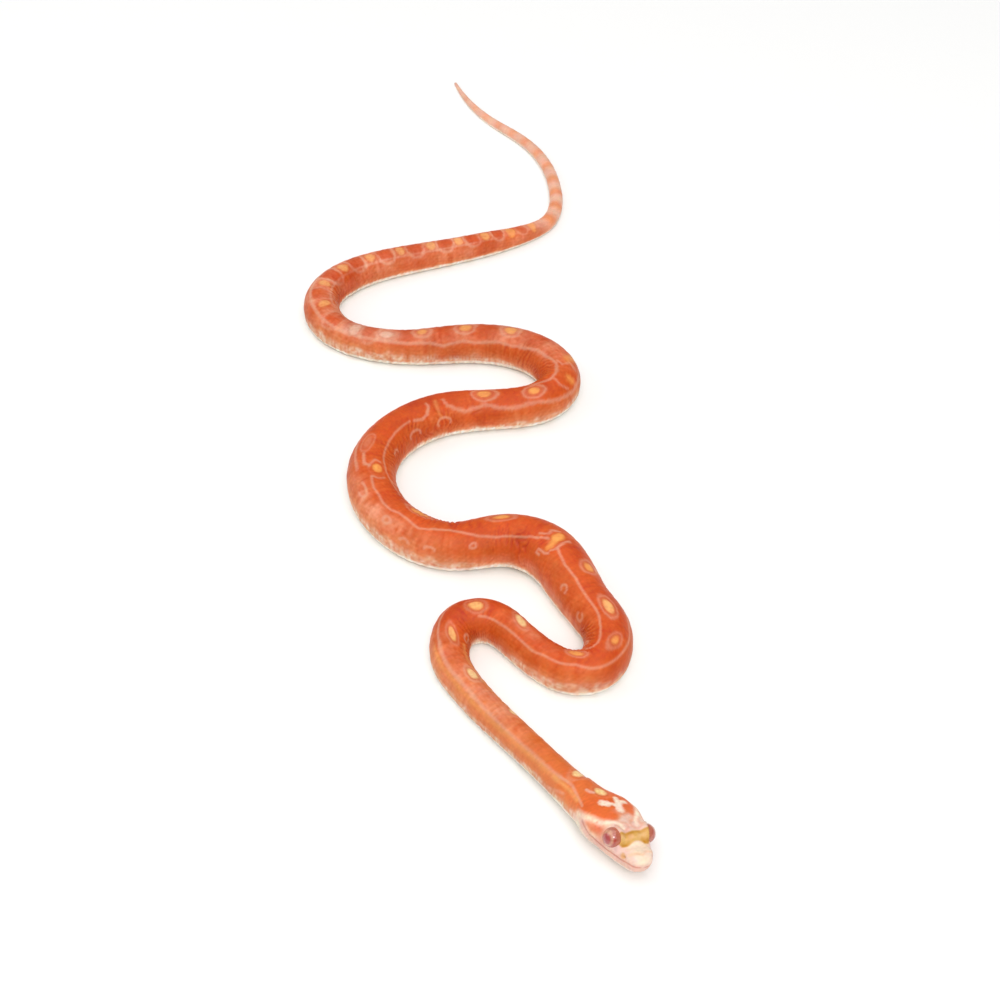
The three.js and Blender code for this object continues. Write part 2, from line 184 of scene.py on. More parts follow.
class Noise:
    """Smooth seeded noise over places in space, about -1 to 1."""

    def __init__(self, seed: int, wavelength: float, waves: int = 14) -> None:
        """Draws the directions and phases of the waves that make the noise.

        Args:
            seed: Fixes the draw.
            wavelength: The size of its blotches, in the unit of the places.
            waves: How many waves are summed.
        """
        draw = np.random.default_rng(seed)
        direction = draw.normal(size=(waves, 3))
        direction /= np.linalg.norm(direction, axis=1, keepdims=True)
        self.wave = direction * (2 * np.pi / (wavelength * draw.uniform(0.7, 1.6, (waves, 1))))
        self.phase = draw.uniform(0, 2 * np.pi, waves)

    def at(self, places: Array) -> Array:
        """Reads the noise.

        Args:
            places: Points of shape (..., 3), in the unit of the wavelength.

        Returns:
            One value for each point.
        """
        total = np.zeros(places.shape[:-1])
        for wave, phase in zip(self.wave, self.phase):
            total += np.sin(places @ wave + phase)
        return total / math.sqrt(len(self.phase))


def srgb(red: int, green: int, blue: int) -> Array:
    """Turns a colour named by its 0-255 screen values into linear light."""
    c = np.array([red, green, blue], float) / 255.0
    return np.where(c <= 0.04045, c / 12.92, ((c + 0.055) / 1.055) ** 2.4)


@dataclass
class BodyPlan:
    """Where the animal lies and how thick it is, in millimetres: the same plan as the solids have.

    Most points of the path are the output of a scratch script that fitted them to the animal's outline in the
    photograph, and the girth follows the same fit's radii. Some rows of both were changed afterwards.

    Attributes:
        path: Points below the spine, from the snout tailwards.
        path_middle: The point of the path's plane that lies at the frame's origin.
        girth: Half the body's width at distances from the snout.
        tallness: The body's height as a share of its width.
        head: The head's sections: distance, half width, top, bottom, height of the widest line, and how
            square the upper and the lower half are.
        lift: How far a section's foot is off the floor.
        lean_degrees: How far a section's top leans to the animal's left.
        widest_at: The height of the body's widest line, as a share of its top.
        below_widest: How far the body reaches below that line, as a share of its top.
        tail_end: The tail tip's distance from the snout.
        straight_at: The distance at which the head's own straight frame is taken.
        nostril: How far back, out and up a nostril is in that frame.
    """

    path: Rows = (
        (31.95, 238.7), (26.7, 249.8), (19.6, 258.0), (9.6, 270.6), (-0.7, 283.6), (-8.9, 295.1),
        (-12.3, 302.4), (-12.6, 308.1), (-10.2, 313.5), (-2.5, 315.1), (4.1, 309.8), (11.3, 302.0),
        (17.7, 298.3), (23.5, 299.1), (26.8, 304.2), (27.0, 311.5), (22.9, 320.0), (18.6, 328.8),
        (13.7, 337.3), (2.2, 343.0), (-11.7, 342.0), (-25.1, 348.0), (-33.1, 358.8), (-35.7, 372.2),
        (-30.9, 385.5), (-18.0, 396.0), (-0.5, 399.4), (12.7, 403.2), (17.4, 410.6), (14.7, 420.2),
        (5.4, 427.3), (-10.2, 430.0), (-26.1, 428.9), (-39.4, 431.0), (-49.2, 436.5), (-54.5, 444.7),
        (-55.0, 454.0), (-48.3, 464.5), (-36.0, 472.2), (-21.0, 477.8), (-6.4, 483.4), (7.6, 490.7),
        (15.2, 497.6), (18.4, 506.6), (18.7, 518.1), (16.4, 531.8), (8.9, 548.3), (-2.7, 562.4),
        (-11.9, 578.0), (-17.4, 593.8),
    )
    path_middle: Sequence[float] = (-12.61, 414.44)
    girth: Rows = (
        (22, 4.5), (40, 4.0), (56, 4.15), (70, 4.4), (82, 5.1), (92, 5.6), (108, 5.1), (126, 5.5),
        (138, 6.2), (153, 6.4), (164, 7.1), (174, 7.4), (186, 7.05), (202, 6.6), (218, 6.6), (240, 6.8),
        (258, 6.6), (276, 6.35), (292, 5.95), (309, 6.15), (324, 6.3), (340, 6.2), (358, 5.85), (374, 5.3),
        (390, 5.05), (406, 5.5), (420, 5.4), (438, 4.95), (458, 4.45), (474, 4.0), (486, 3.2), (496, 2.6),
        (512, 2.2), (536, 1.95), (558, 1.7), (578, 1.3), (592, 0.85), (604, 0.35),
    )
    tallness: Rows = (
        (22, 0.93), (80, 0.92), (95, 0.97), (118, 0.93), (140, 0.95), (165, 0.95), (186, 0.90), (204, 0.87),
        (640, 0.87),
    )
    head: Rows = (
        (0.0, 0.80, 3.90, 2.05, 3.00, 2.3, 2.2),
        (0.15, 1.60, 4.45, 1.50, 3.00, 2.6, 2.4),
        (0.6, 2.40, 5.00, 1.00, 3.00, 2.8, 2.5),
        (1.5, 3.05, 5.45, 0.62, 2.90, 3.1, 2.8),
        (2.9, 3.70, 5.70, 0.30, 2.80, 3.3, 3.2),
        (4.4, 4.20, 5.55, 0.05, 2.75, 3.1, 3.6),
        (5.8, 4.75, 5.85, -0.05, 2.75, 2.9, 3.8),
        (7.6, 5.50, 6.75, -0.10, 2.85, 2.8, 3.8),
        (9.6, 6.15, 7.45, -0.10, 3.00, 2.7, 3.6),
        (11.9, 6.85, 7.90, -0.05, 3.10, 2.6, 3.3),
        (14.3, 7.40, 8.20, 0.00, 3.15, 2.5, 3.0),
        (16.6, 7.35, 8.35, 0.00, 3.30, 2.35, 2.8),
        (18.8, 6.50, 8.30, 0.00, 3.30, 2.2, 2.6),
        (21.3, 5.50, 8.25, -0.10, 3.35, 2.05, 2.6),
        (26.0, 4.60, 8.50, -0.34, 3.57, 2.0, 2.6),
    )
    lift: Rows = (
        (0, 2.7), (10, 1.7), (22, 1.3), (36, 1.0), (50, 0.5), (64, 0), (166, 0), (187, 1.0), (208, 0),
        (640, 0),
    )
    lean_degrees: Rows = ((0, 19), (20, 17), (34, 11), (50, 4), (64, 0), (640, 0))
    widest_at: float = 0.42
    below_widest: float = 0.46
    tail_end: float = 601.0
    straight_at: float = 4.0
    nostril: Sequence[float] = (3.2, 3.7, 3.95)

    def __post_init__(self) -> None:
        """Fits the path and the tables."""
        points = np.array(self.path, float) - np.array(self.path_middle)
        chord = np.concatenate([[0.0], np.cumsum(np.linalg.norm(np.diff(points, axis=0), axis=1))])
        self._x = natural_spline(chord, points[:, 0])
        self._y = natural_spline(chord, points[:, 1])
        self._chord = np.linspace(0.0, chord[-1], 6001)
        steps = np.hypot(np.diff(self._x(self._chord)), np.diff(self._y(self._chord)))
        self._travelled = np.concatenate([[0.0], np.cumsum(steps)])
        self._girth = table_reader(self.girth)
        self._tall = table_reader(self.tallness)
        self._lift = table_reader(self.lift)
        self._lean = table_reader(self.lean_degrees)
        self._head = [table_reader(self.head, column) for column in range(1, 7)]

    def place(self, s: Array) -> Array:
        """Gives the spine's foot on the floor at a distance from the snout."""
        chord = np.interp(s, self._travelled, self._chord)
        return np.stack([self._x(chord), self._y(chord)], axis=-1)

    def half_width(self, s: Array) -> Array:
        """Gives half the body's width at a distance from the snout."""
        return self.outline(s)[0]

    def outline(self, s: Array) -> list[Array]:
        """Gives the cross-section at a distance from the snout.

        Args:
            s: Distances from the snout.

        Returns:
            Half width, top, bottom, height of the widest line, and how square the upper and lower halves are.
        """
        width = self._girth(s)
        top = 2.0 * width * self._tall(s)
        widest = self.widest_at * top
        bottom = widest - self.below_widest * top
        body = [width, top, bottom, widest, np.full_like(top, 2.0), np.full_like(top, 2.6)]
        on_head = s <= self.head[-1][0]
        return [np.where(on_head, read(s), value) for read, value in zip(self._head, body)]

    def frame_at(self, s: Array) -> tuple[Array, Array, Array]:
        """Gives the frame that a cross-section stands in.

        Args:
            s: Distances from the snout.

        Returns:
            Its foot in space, its direction to the animal's left, and its lean in radians.
        """
        before = self.place(np.maximum(s - 0.2, 0.0))
        after = self.place(np.minimum(s + 0.2, self._travelled[-1]))
        tailward = after - before
        tailward /= np.linalg.norm(tailward, axis=-1, keepdims=True)
        left = np.stack([tailward[..., 1], -tailward[..., 0], np.zeros_like(s)], axis=-1)
        foot = np.concatenate([self.place(s), self._lift(s)[..., None]], axis=-1)
        return foot, left, np.radians(self._lean(s))

    def section(self, s: Array, angle: Array) -> tuple[Array, Array, Array]:
        """Gives the plain cross-section as a distance from its centre line.

        Args:
            s: Distances from the snout.
            angle: Angles from the top of the back, in radians.

        Returns:
            The radius, and the direction out and up that it is measured along.
        """
        width, top, bottom, widest, upper, lower = self.outline(s)
        side, up = np.sin(angle), np.cos(angle)
        power = np.where(up > 0, upper, lower)
        reach = (np.abs(side) ** power + np.abs(up) ** power) ** (-1.0 / power)
        out = side * reach * width
        rise = up * reach * np.where(up > 0, top - widest, widest - bottom)
        rise = np.maximum(widest + rise, 0.0) - widest
        radius = np.maximum(np.hypot(out, rise), 1e-6)
        return radius, out / radius, rise / radius

    def in_space(self, s: Array, out: Array, height: Array) -> Array:
        """Puts points of cross-sections in space.

        Args:
            s: Distances from the snout.
            out: How far to the animal's left.
            height: How far above the foot.

        Returns:
            Points of shape (..., 3), in millimetres.
        """
        foot, left, lean = self.frame_at(s)
        pivot = self.outline(s)[3]
        across = out * np.cos(lean) + (height - pivot) * np.sin(lean)
        rise = pivot + (height - pivot) * np.cos(lean) - out * np.sin(lean)
        up = np.array([0.0, 0.0, 1.0])
        return foot + across[..., None] * left + rise[..., None] * up

    def head_axes(self) -> tuple[Array, Array, Array, Array, float]:
        """Gives the head's own straight frame.

        Returns:
            Its foot, its tailward, left and up directions, and its pivot height.
        """
        straight = np.array([self.straight_at])
        foot, left, lean = self.frame_at(straight)
        foot, left, lean = foot[0], left[0], float(lean[0])
        up = np.array([0.0, 0.0, 1.0])
        tailward = np.cross(up, left)
        pivot = float(self.outline(straight)[3][0])
        leaned_left = left * math.cos(lean) - up * math.sin(lean)
        leaned_up = up * math.cos(lean) + left * math.sin(lean)
        origin = foot - self.straight_at * tailward + pivot * up
        return origin, tailward, leaned_left, leaned_up, pivot

    def on_head(self, back: float, out: float, up: float) -> Array:
        """Puts a point of the head's own frame in space."""
        origin, tailward, left, rise, pivot = self.head_axes()
        return origin + back * tailward + out * left + (up - pivot) * rise

    def head_place(self, places: Array) -> tuple[Array, Array, Array]:
        """Reads places in space in the head's own frame.

        Args:
            places: Points of shape (..., 3), in millimetres.

        Returns:
            How far back, how far to the left and how high each one is.
        """
        origin, tailward, left, rise, pivot = self.head_axes()
        d = places - origin
        return d @ tailward, d @ left, d @ rise + pivot


class Side(Enum):
    """The animal's own left or right."""

    LEFT = 1
    RIGHT = -1


@dataclass(frozen=True)
class EyePlan:
    """Where the eyes sit in the head's frame and how big they are, in millimetres.

    Attributes:
        back: How far behind the snout the ball's middle is.
        out: How far to the side it is.
        up: How high it is.
        radius: The solid ball's radius.
        inset: How much smaller the painted ball is.
        rim_out: How far outside the ball's middle the lid is cut off; inside where it is negative.
        lid: How thick the lid is round the ball.
        forward: How far the eye looks forward, as a share of how far it looks out.
        upward: How far it looks up, as a share of the same.
    """

    back: float = 8.5
    out: float = 4.35
    up: float = 4.65
    radius: float = 2.4
    inset: float = 0.01
    rim_out: float = -0.1
    lid: float = 0.38
    forward: float = 0.2
    upward: float = 0.12

    def gaze(self, plan: BodyPlan, side: Side) -> Array:
        """Gives the direction that an eye looks in: outward, a little forward and up.

        Args:
            plan: The animal's plan.
            side: Which eye.

        Returns:
            A unit direction.
        """
        _, tailward, left, up, _ = plan.head_axes()
        look = left * side.value - tailward * self.forward + up * self.upward
        return look / np.linalg.norm(look)


@dataclass
class SkinShape:
    """The skin's surface: the plan's sweep, with lids, lips, nostrils, belly scutes and creases in it.

    Attributes:
        plan: The animal's plan.
        eye: The eyes' plan.
        columns: How many points a ring has.
        fine_until: The distance from the snout up to which the rings are close.
        head_step: The distance from one ring to the next there.
        body_step: The distance from one ring to the next on the body.
        mouth_line: The mouth line's height, by how far back it is.
        mouth_depth: How deep its groove is.
        creased: Where the skin is creased most: distance, angle, how far each way, and how deep.
        crease_spacing: The distance from one crease to the next, before it is made to wander.
        scute_length: The length of a belly scute.
        scute_step: The height of the step between two scutes.
    """

    plan: BodyPlan
    eye: EyePlan
    columns: int = 144
    fine_until: float = 24.0
    head_step: float = 0.15
    body_step: float = 0.46
    mouth_line: Rows = ((-2, 3.6), (0.8, 3.5), (4.7, 2.4), (8.3, 1.85), (11.6, 2.2), (14.8, 3.0), (16.5, 3.2))
    mouth_depth: float = 0.2
    creased: Rows = (
        (94, 60, 9, 40, 0.35), (137, -18, 8, 45, 0.3), (182, -60, 12, 38, 0.4), (206, 25, 12, 30, 0.3),
        (262, 66, 26, 30, 0.35), (150, -50, 14, 40, 0.12),
    )
    crease_spacing: float = 1.7
    scute_length: float = 2.3
    scute_step: float = 0.16

    def rings(self) -> Array:
        """Gives the distances from the snout at which the skin has a ring of points.

        Returns:
            Rising distances.
        """
        snout = np.array([0, 0.03, 0.07, 0.12, 0.18, 0.25, 0.33, 0.42, 0.52, 0.63, 0.76, 0.9, 1.05, 1.2])
        head = np.arange(1.35, self.fine_until, self.head_step)
        easing = self.fine_until + np.cumsum(np.linspace(self.head_step, 0.45, 10))
        body = np.arange(easing[-1] + self.body_step, self.plan.tail_end - 3.0, self.body_step)
        tip = self.plan.tail_end - np.array([2.6, 2.2, 1.8, 1.4, 1.05, 0.75, 0.5, 0.3, 0.15, 0.0])
        return np.concatenate([snout, head, easing, body, tip])

    def head_relief(self, back: Array, out: Array, up: Array) -> Array:
        """Gives how far the head's skin stands off its plain sweep.

        Args:
            back: How far behind the snout each place is, in the head's frame.
            out: How far to the left it is.
            up: How high it is.

        Returns:
            What to add to the radius, in millimetres.
        """
        side = np.abs(out)
        brow = 0.42 * bump(back, 8.4, 2.2) * bump(side, 3.8, 1.2) * bump(up, 6.4, 1.3)
        eye_hollow = 0.5 * bump(back, 5.2, 1.1) * bump(side, 2.9, 1.7) * bump(up, 5.1, 1.1)
        forehead_dip = 0.25 * bump(back, 4.9, 0.9) * bump(side, 0, 1.8) * bump(up, 5.4, 0.9)
        temple = 0.25 * bump(back, 15.4, 2.4) * bump(side, 6.3, 1.5) * bump(up, 4.2, 1.8)
        upper_lip = 0.18 * bump(up, 2.9, 0.42) * bump(back, 7.2, 6.6)
        crown_furrow = 0.13 * bump(side, 0, 1.0) * bump(back, 12.9, 3.9) * bump(up, 8.0, 1.1)
        relief = brow - eye_hollow - forehead_dip + temple + upper_lip - crown_furrow
        line = table_reader(self.mouth_line)(back)
        along = smoothstep(17.2, 15.6, back)
        relief -= self.mouth_depth * bump(up - line, 0, 0.13) * along
        relief -= 0.10 * smoothstep(0.05, 0.5, line - up) * bump(up - line, -0.5, 0.8) * along
        relief += 0.05 * bump(up - line, 0.42, 0.25) * along
        nostril_back, nostril_out, nostril_up = self.plan.nostril
        for nostril_side in (1, -1):
            aside = out - nostril_side * nostril_out
            distance = (back - nostril_back) ** 2 + aside**2 * 0.3 + (up - nostril_up) ** 2
            relief -= 0.42 * np.exp(-distance / 0.16) - 0.05 * np.exp(-distance / 0.6)
        return relief

    def lid_reach(self, centres: Array, directions: Array, side: Side) -> Array:
        """Gives how far along each direction the round lid of one eye reaches.

        Args:
            centres: Where the directions start, in space.
            directions: Unit directions.
            side: Which eye.

        Returns:
            The distance to the lid's surface, or 0 where the direction misses it.
        """
        middle = self.plan.on_head(self.eye.back, side.value * self.eye.out, self.eye.up)
        outward = self.eye.gaze(self.plan, side)
        start = centres - middle
        along = np.sum(start * directions, axis=-1)
        radius = self.eye.radius + self.eye.lid
        inside = along**2 - (np.sum(start * start, axis=-1) - radius**2)
        ball = -along + np.sqrt(np.maximum(inside, 0.0))
        slope = directions @ outward
        plane = (self.eye.rim_out - start @ outward) / np.where(np.abs(slope) < 1e-6, 1e-6, slope)
        reach = np.where(slope > 0, np.minimum(ball, plane), ball)
        return np.where(inside > 0, np.maximum(reach, 0.0), 0.0)

    def folds(self, s: Array, angle: Array, places: Array) -> Array:
        """Gives the depth of the skin's creases: deep where it is pressed together, fine elsewhere.

        Args:
            s: Distances from the snout.
            angle: Angles from the top of the back, in radians.
            places: The same places in space, in millimetres.

        Returns:
            Depths in millimetres.
        """
        step = 1.5
        here = self.plan.place(s)
        after = self.plan.place(s + step) - here
        before = here - self.plan.place(s - step)
        turn = before[..., 0] * after[..., 1] - before[..., 1] * after[..., 0]
        bend = np.clip(turn / step**3, -0.12, 0.12)
        width = self.plan.half_width(s)
        pressed = np.clip(-bend * width * np.sin(angle) * 1.15, 0.0, 0.5)
        turned = np.degrees(angle)
        for at, middle, length, spread, strength in self.creased:
            pressed = pressed + strength * bump(s, at, length) * bump(turned, middle, spread)
        wander = 0.6 * Noise(3, 9.0).at(places) + 0.25 * Noise(4, 3.0).at(places)
        strong = smoothstep(-0.9, 0.8, Noise(5, 8.0).at(places))
        wave = np.sin(np.pi * (s / self.crease_spacing + 0.007 * turned + wander))
        crease = (1.0 - np.abs(wave)) ** 1.3
        laid_flat = np.stack([s, angle * width * 0.22, np.zeros_like(s)], axis=-1)
        fine = 0.04 * Noise(6, 1.6, 20).at(laid_flat)
        depth = np.clip(pressed, 0.0, 0.7) * strong * crease + fine
        return depth * smoothstep(22.0, 34.0, s) * smoothstep(600.0, 560.0, s)

    def surface(self) -> tuple[Array, Array, Array, Array]:
        """Gives the skin's points.

        Returns:
            The points in space in millimetres, and each one's distance, angle in degrees and crease depth,
            all as rings by columns.
        """
        rings = self.rings()
        turns = (np.arange(self.columns) / self.columns * 2.0 - 1.0) * np.pi
        s, angle = np.meshgrid(rings, turns, indexing="ij")
        radius, out, rise = self.plan.section(s, angle)
        widest = self.plan.outline(s)[3]
        centre = self.plan.in_space(s, np.zeros_like(s), widest)
        plain = self.plan.in_space(s, out * radius, widest + rise * radius)
        directions = plain - centre
        directions /= np.linalg.norm(directions, axis=-1, keepdims=True)
        head = rings <= self.plan.head[-1][0]
        back, across, up = self.plan.head_place(plain[head])
        radius[head] += self.head_relief(back, across, up) * smoothstep(25.0, 19.0, s[head])
        for side in Side:
            reach = self.lid_reach(centre[head], directions[head], side)
            radius[head] = smooth_max(radius[head], reach, 0.45)
            middle = self.plan.on_head(self.eye.back, side.value * self.eye.out, self.eye.up)
            skin = centre[head] + directions[head] * radius[head][..., None]
            clear = np.linalg.norm(skin - middle, axis=-1) - self.eye.radius
            radius[head] += 0.1 * bump(clear, 0.18, 0.2)
        degrees = np.abs(np.degrees(angle))
        folds = self.folds(s, angle, plain)
        radius -= folds
        radius += self.scutes(s, degrees)
        out_at, height = out * radius, np.maximum(widest + rise * radius, 0.0)
        places = self.plan.in_space(s, out_at, height)
        places[..., 2] = np.maximum(places[..., 2], 0.0)
        return places, s, np.degrees(angle), folds

    def scutes(self, s: Array, degrees: Array) -> Array:
        """Gives the steps between one belly scute and the next.

        Args:
            s: Distances from the snout.
            degrees: Angles from the top of the back, without sign.

        Returns:
            What to add to the radius in millimetres, 0 or less.
        """
        size = np.clip(self.plan.half_width(s) / 6.0, 0.5, 1.0)
        phase = np.mod(s / self.scute_length, 1.0)
        step = smoothstep(0.45, 0.0, phase) * smoothstep(0.0, 0.06, phase)
        belly = smoothstep(106.0, 116.0, degrees) * smoothstep(24.0, 30.0, s)
        return -self.scute_step * step * belly * size


@dataclass(frozen=True)
class Oval:
    """A rounded mark on the back, with a pale ring round it, in millimetres and degrees.

    Attributes:
        s: Its distance from the snout.
        angle: Its angle from the top of the back.
        half_length: Half its length along the body.
        half_width: Half its width across the body.
        core: Its colour.
        strength: How strongly that colour is laid on.
        ring: How strongly the ring is laid on.
        ring_out: How far outside the core the ring is.
        tilt: How far its tailward end is turned towards the animal's left.
    """

    s: float
    angle: float
    half_length: float
    half_width: float
    core: Array
    strength: float = 0.9
    ring: float = 0.45
    ring_out: float = 1.3
    tilt: float = 0.0


@dataclass(frozen=True)
class Stroke:
    """A line on the skin, in millimetres and degrees.

    Attributes:
        places: The distances and angles that it runs through.
        half_width: Half its width.
        colour: Its colour.
        strength: How strongly that colour is laid on.
        ragged: How far its edges wander, as a share of its half width.
        soft: How far its edges fade.
    """

    places: Rows
    half_width: float
    colour: Array
    strength: float = 1.0
    ragged: float = 0.25
    soft: float = 0.35


def named_colour(red: int, green: int, blue: int) -> Array:
    """Gives a dataclass field that holds the colour with these 0-255 screen values."""
    return field(default_factory=lambda: srgb(red, green, blue))


@dataclass(frozen=True)
class Palette:
    """The colours of the skin as the studio shows them, in linear light."""

    back: Array = named_colour(212, 92, 44)
    neck: Array = named_colour(226, 120, 64)
    saddle: Array = named_colour(202, 80, 40)
    flank: Array = named_colour(210, 100, 52)
    blush: Array = named_colour(232, 150, 116)
    deep: Array = named_colour(190, 68, 24)
    low_flank: Array = named_colour(222, 138, 92)
    comb: Array = named_colour(236, 204, 176)
    belly: Array = named_colour(246, 232, 214)
    line: Array = named_colour(226, 166, 138)
    pale: Array = named_colour(234, 190, 166)
    yolk: Array = named_colour(246, 172, 92)
    cream: Array = named_colour(250, 218, 156)
    stripe: Array = named_colour(232, 158, 98)
    tail_pale: Array = named_colour(234, 182, 158)
    tail_blotch: Array = named_colour(234, 138, 84)
    head_pink: Array = named_colour(235, 200, 186)
    head_flush: Array = named_colour(228, 160, 132)
    head_cream: Array = named_colour(252, 230, 206)
    head_orange: Array = named_colour(226, 108, 56)
    ochre: Array = named_colour(219, 170, 94)
    dark_ochre: Array = named_colour(200, 138, 46)
    snout: Array = named_colour(246, 220, 196)
    tan: Array = named_colour(240, 196, 156)
    lip: Array = named_colour(232, 186, 168)
    mouth: Array = named_colour(208, 130, 112)


@dataclass
class Markings:
    """The pattern of the skin, with some painted shade and light, as a colour for every place on it.

    Attributes:
        plan: The animal's plan.
        palette: The skin's colours.
        midline: The angle of the line that the ovals lie on, by distance from the snout.
        right_comb: The angle of the ragged edge between flank and belly on the right.
        left_comb: The same on the left.
        light_and_shade_by_distance: Painted light and shade: what all the colours are multiplied by, by
            distance from the snout.
        comb_spacing: The distance from one tooth of the ragged edge to the next.
        gloss: What is taken off them, to make room for the skin's sheen.
        oval_margin: How far beyond an oval's half length its ring may reach.
        stroke_margin: How far beyond a stroke's places it may reach.
        head_until: The distance from the snout up to which the head's colours are painted.
    """

    plan: BodyPlan
    palette: Palette = field(default_factory=Palette)
    midline: Rows = (
        (0, 0), (20, 8), (28, 12), (53, 30), (68, 20), (82, 5), (94, -2), (106, -18), (118, -18),
        (125, -14), (136, 10), (146, 16), (160, 26), (171, 8), (188, 6), (200, 18), (213, 20), (235, 12),
        (247, -10), (260, -6), (272, 0), (288, 2), (302, 8), (315, 22), (327, 8), (339, 0), (366, 0),
        (400, 6), (411, 8), (442, 8), (482, 5), (502, 0), (640, 0),
    )
    right_comb: Rows = (
        (22, 80), (78, 80), (92, 92), (140, 102), (190, 100), (200, 84), (215, 72), (230, 80), (245, 94),
        (320, 102), (338, 92), (350, 86), (368, 76), (385, 70), (405, 78), (430, 94), (480, 104),
    )
    left_comb: Rows = (
        (22, 92), (84, 92), (104, 86), (112, 78), (126, 74), (136, 86), (150, 97), (240, 100), (262, 100),
        (280, 101), (300, 88), (312, 88), (330, 97), (480, 104),
    )
    # Painted light and shade along the body, as factors by distance from the snout.
    light_and_shade_by_distance: Rows = (
        (0, 1.04), (26, 1.01), (40, 0.95), (80, 0.99), (110, 1.04), (300, 1.02), (350, 0.96), (410, 1.0),
        (460, 1.04), (640, 1.02),
    )
    comb_spacing: float = 1.15
    gloss: float = 0.02
    oval_margin: float = 6.0
    stroke_margin: float = 3.5
    head_until: float = 30.0

    def ovals(self) -> list[Oval]:
        """Gives the ovals of the neck and back, from the head tailwards.

        Returns:
            The ovals.
        """
        p = self.palette
        amber = 0.35 * p.cream + 0.65 * p.yolk
        marks = [
            Oval(20.3, 8, 1.35, 1.15, p.cream, 1.0, 0.15, 0.8),
            Oval(27.8, 16, 1.25, 1.6, p.cream, 1.0, 0.35, 1.2),
            Oval(53.2, 44, 1.3, 1.2, p.cream, 0.9, 0.3),
            Oval(68.4, 23, 1.75, 1.05, p.cream, 0.95, 0.6, 1.0),
            Oval(82.3, 8, 2.0, 0.8, amber, 0.9, 0.35, 1.1, -20),
            Oval(94.4, 3, 1.6, 1.3, amber, 0.9, 0.4, 1.1),
            Oval(106.4, -21, 2.3, 1.1, p.cream, 0.85, 0.35, 1.0, 22),
            Oval(125.6, -13, 1.9, 0.8, p.yolk, 0.75, 0.5, 0.9, 15),
            Oval(136.0, 20, 1.2, 0.8, p.yolk, 0.75, 0.4, 1.0, 20),
            Oval(146.3, 10, 2.3, 1.1, amber, 0.85, 0.5),
            Oval(160.4, 28, 1.3, 1.2, p.yolk, 0.85, 0.5, 1.1),
            Oval(171.8, 5, 1.5, 1.8, p.yolk, 0.85, 0.1),
            Oval(188.4, 17, 1.8, 1.0, p.yolk, 0.8, 0.5),
            Oval(213.5, 31, 3.1, 1.0, p.yolk, 0.75, 0.5),
            Oval(236.3, 15, 1.7, 1.3, p.yolk, 0.85, 0.1),
            Oval(247.2, -16, 1.9, 0.9, p.line, 0.2, 0.4, 1.3),
            Oval(287.8, -2, 1.9, 1.4, p.yolk, 0.8, 0.65, 1.6),
            Oval(302.0, 7, 1.6, 1.2, p.yolk, 0.8, 0.6, 1.4),
            Oval(339.4, 6, 1.8, 1.7, p.yolk, 0.8, 0.65, 1.3),
            Oval(353.0, 5, 1.8, 1.5, p.yolk, 0.8, 0.6, 1.3),
            Oval(366.0, 4, 1.4, 1.2, p.yolk, 0.7, 0.6, 1.3),
            Oval(376.5, -8, 1.8, 1.3, p.pale, 0.6, 0.2),
            Oval(386.5, -5, 1.6, 2.4, p.pale, 0.7, 0.1),
        ]
        rear = (402.4, 413.2, 423.6, 434.0, 444.3, 454.6, 464.0, 473.2)
        marks += [Oval(s, 6, 1.35, 1.9, amber, 0.6, 0.0) for s in rear]
        marks += [Oval(s, 14, 1.2, 2.2, p.yolk, 0.6, 0.0) for s in (482.2, 490.4)]
        return marks

    def side_lines(self) -> list[Stroke]:
        """Gives the pale wavy line along each side, and the stripes below it on the neck.

        Returns:
            The strokes, in the order of painting.
        """
        p = self.palette
        right = (
            (30, -38), (33, -41), (36, -41), (44, -41), (50, -40), (56, -35), (61, -29), (65, -26),
            (69, -29), (73, -31), (77, -30), (80, -30), (86, -38), (94, -44), (106, -62), (118, -58),
            (126, -48), (131, -22), (134, -14), (137, -18), (141, -22), (148, -21), (152, -20), (158, -15),
            (163, -19), (167, -16), (169, -12),
        )
        right_2 = (
            (173, -12), (176, -24), (182, -36), (190, -38), (195, -28), (199, -12), (202, -5), (206, -9),
            (210, -19), (214, -10), (217, -8), (220, -14), (223, -14), (226, -9), (229, -10), (233, -4),
        )
        right_3 = (
            (238, -32), (250, -52), (262, -48), (273, -40), (285, -44), (300, -34), (309, -4), (313, -5),
            (317, -10), (322, -25), (327, -29), (332, -41), (337, -45), (342, -42), (350, -48), (354, -42),
            (360, -53), (364, -40), (370, -39), (376, -33), (388, -32), (396, -32), (402, -30), (412, -36),
            (424, -40), (436, -40), (448, -42), (460, -42), (472, -42),
        )
        neck_stripe = ((30, -49), (34, -51), (42, -51), (50, -50), (57, -47), (64, -44), (72, -46), (80, -50))
        low_stripe = ((30, -62), (40, -63), (50, -62), (60, -60), (70, -62), (80, -66))
        left = (
            (95, 34), (103, 33), (108, 27), (115, 31), (119, 25), (123, 27), (126, 24), (129, 38),
            (134, 48), (138, 56), (146, 54), (160, 66), (171, 50), (188, 46), (200, 56), (213, 58),
            (228, 46), (236, 38), (242, 33), (250, 31), (257, 29), (262, 29),
        )
        left_2 = (
            (275.4, 8), (276, 24), (279, 41), (281.5, 48), (285, 40), (288, 34), (291, 43), (295, 49),
            (299, 42), (302, 43), (306, 56), (311, 66), (316, 64), (326, 52), (340, 46), (352, 50),
            (366, 44), (378, 40), (390, 42), (402, 46),
        )
        thin, middling, broad = 0.26, 0.4, 0.5
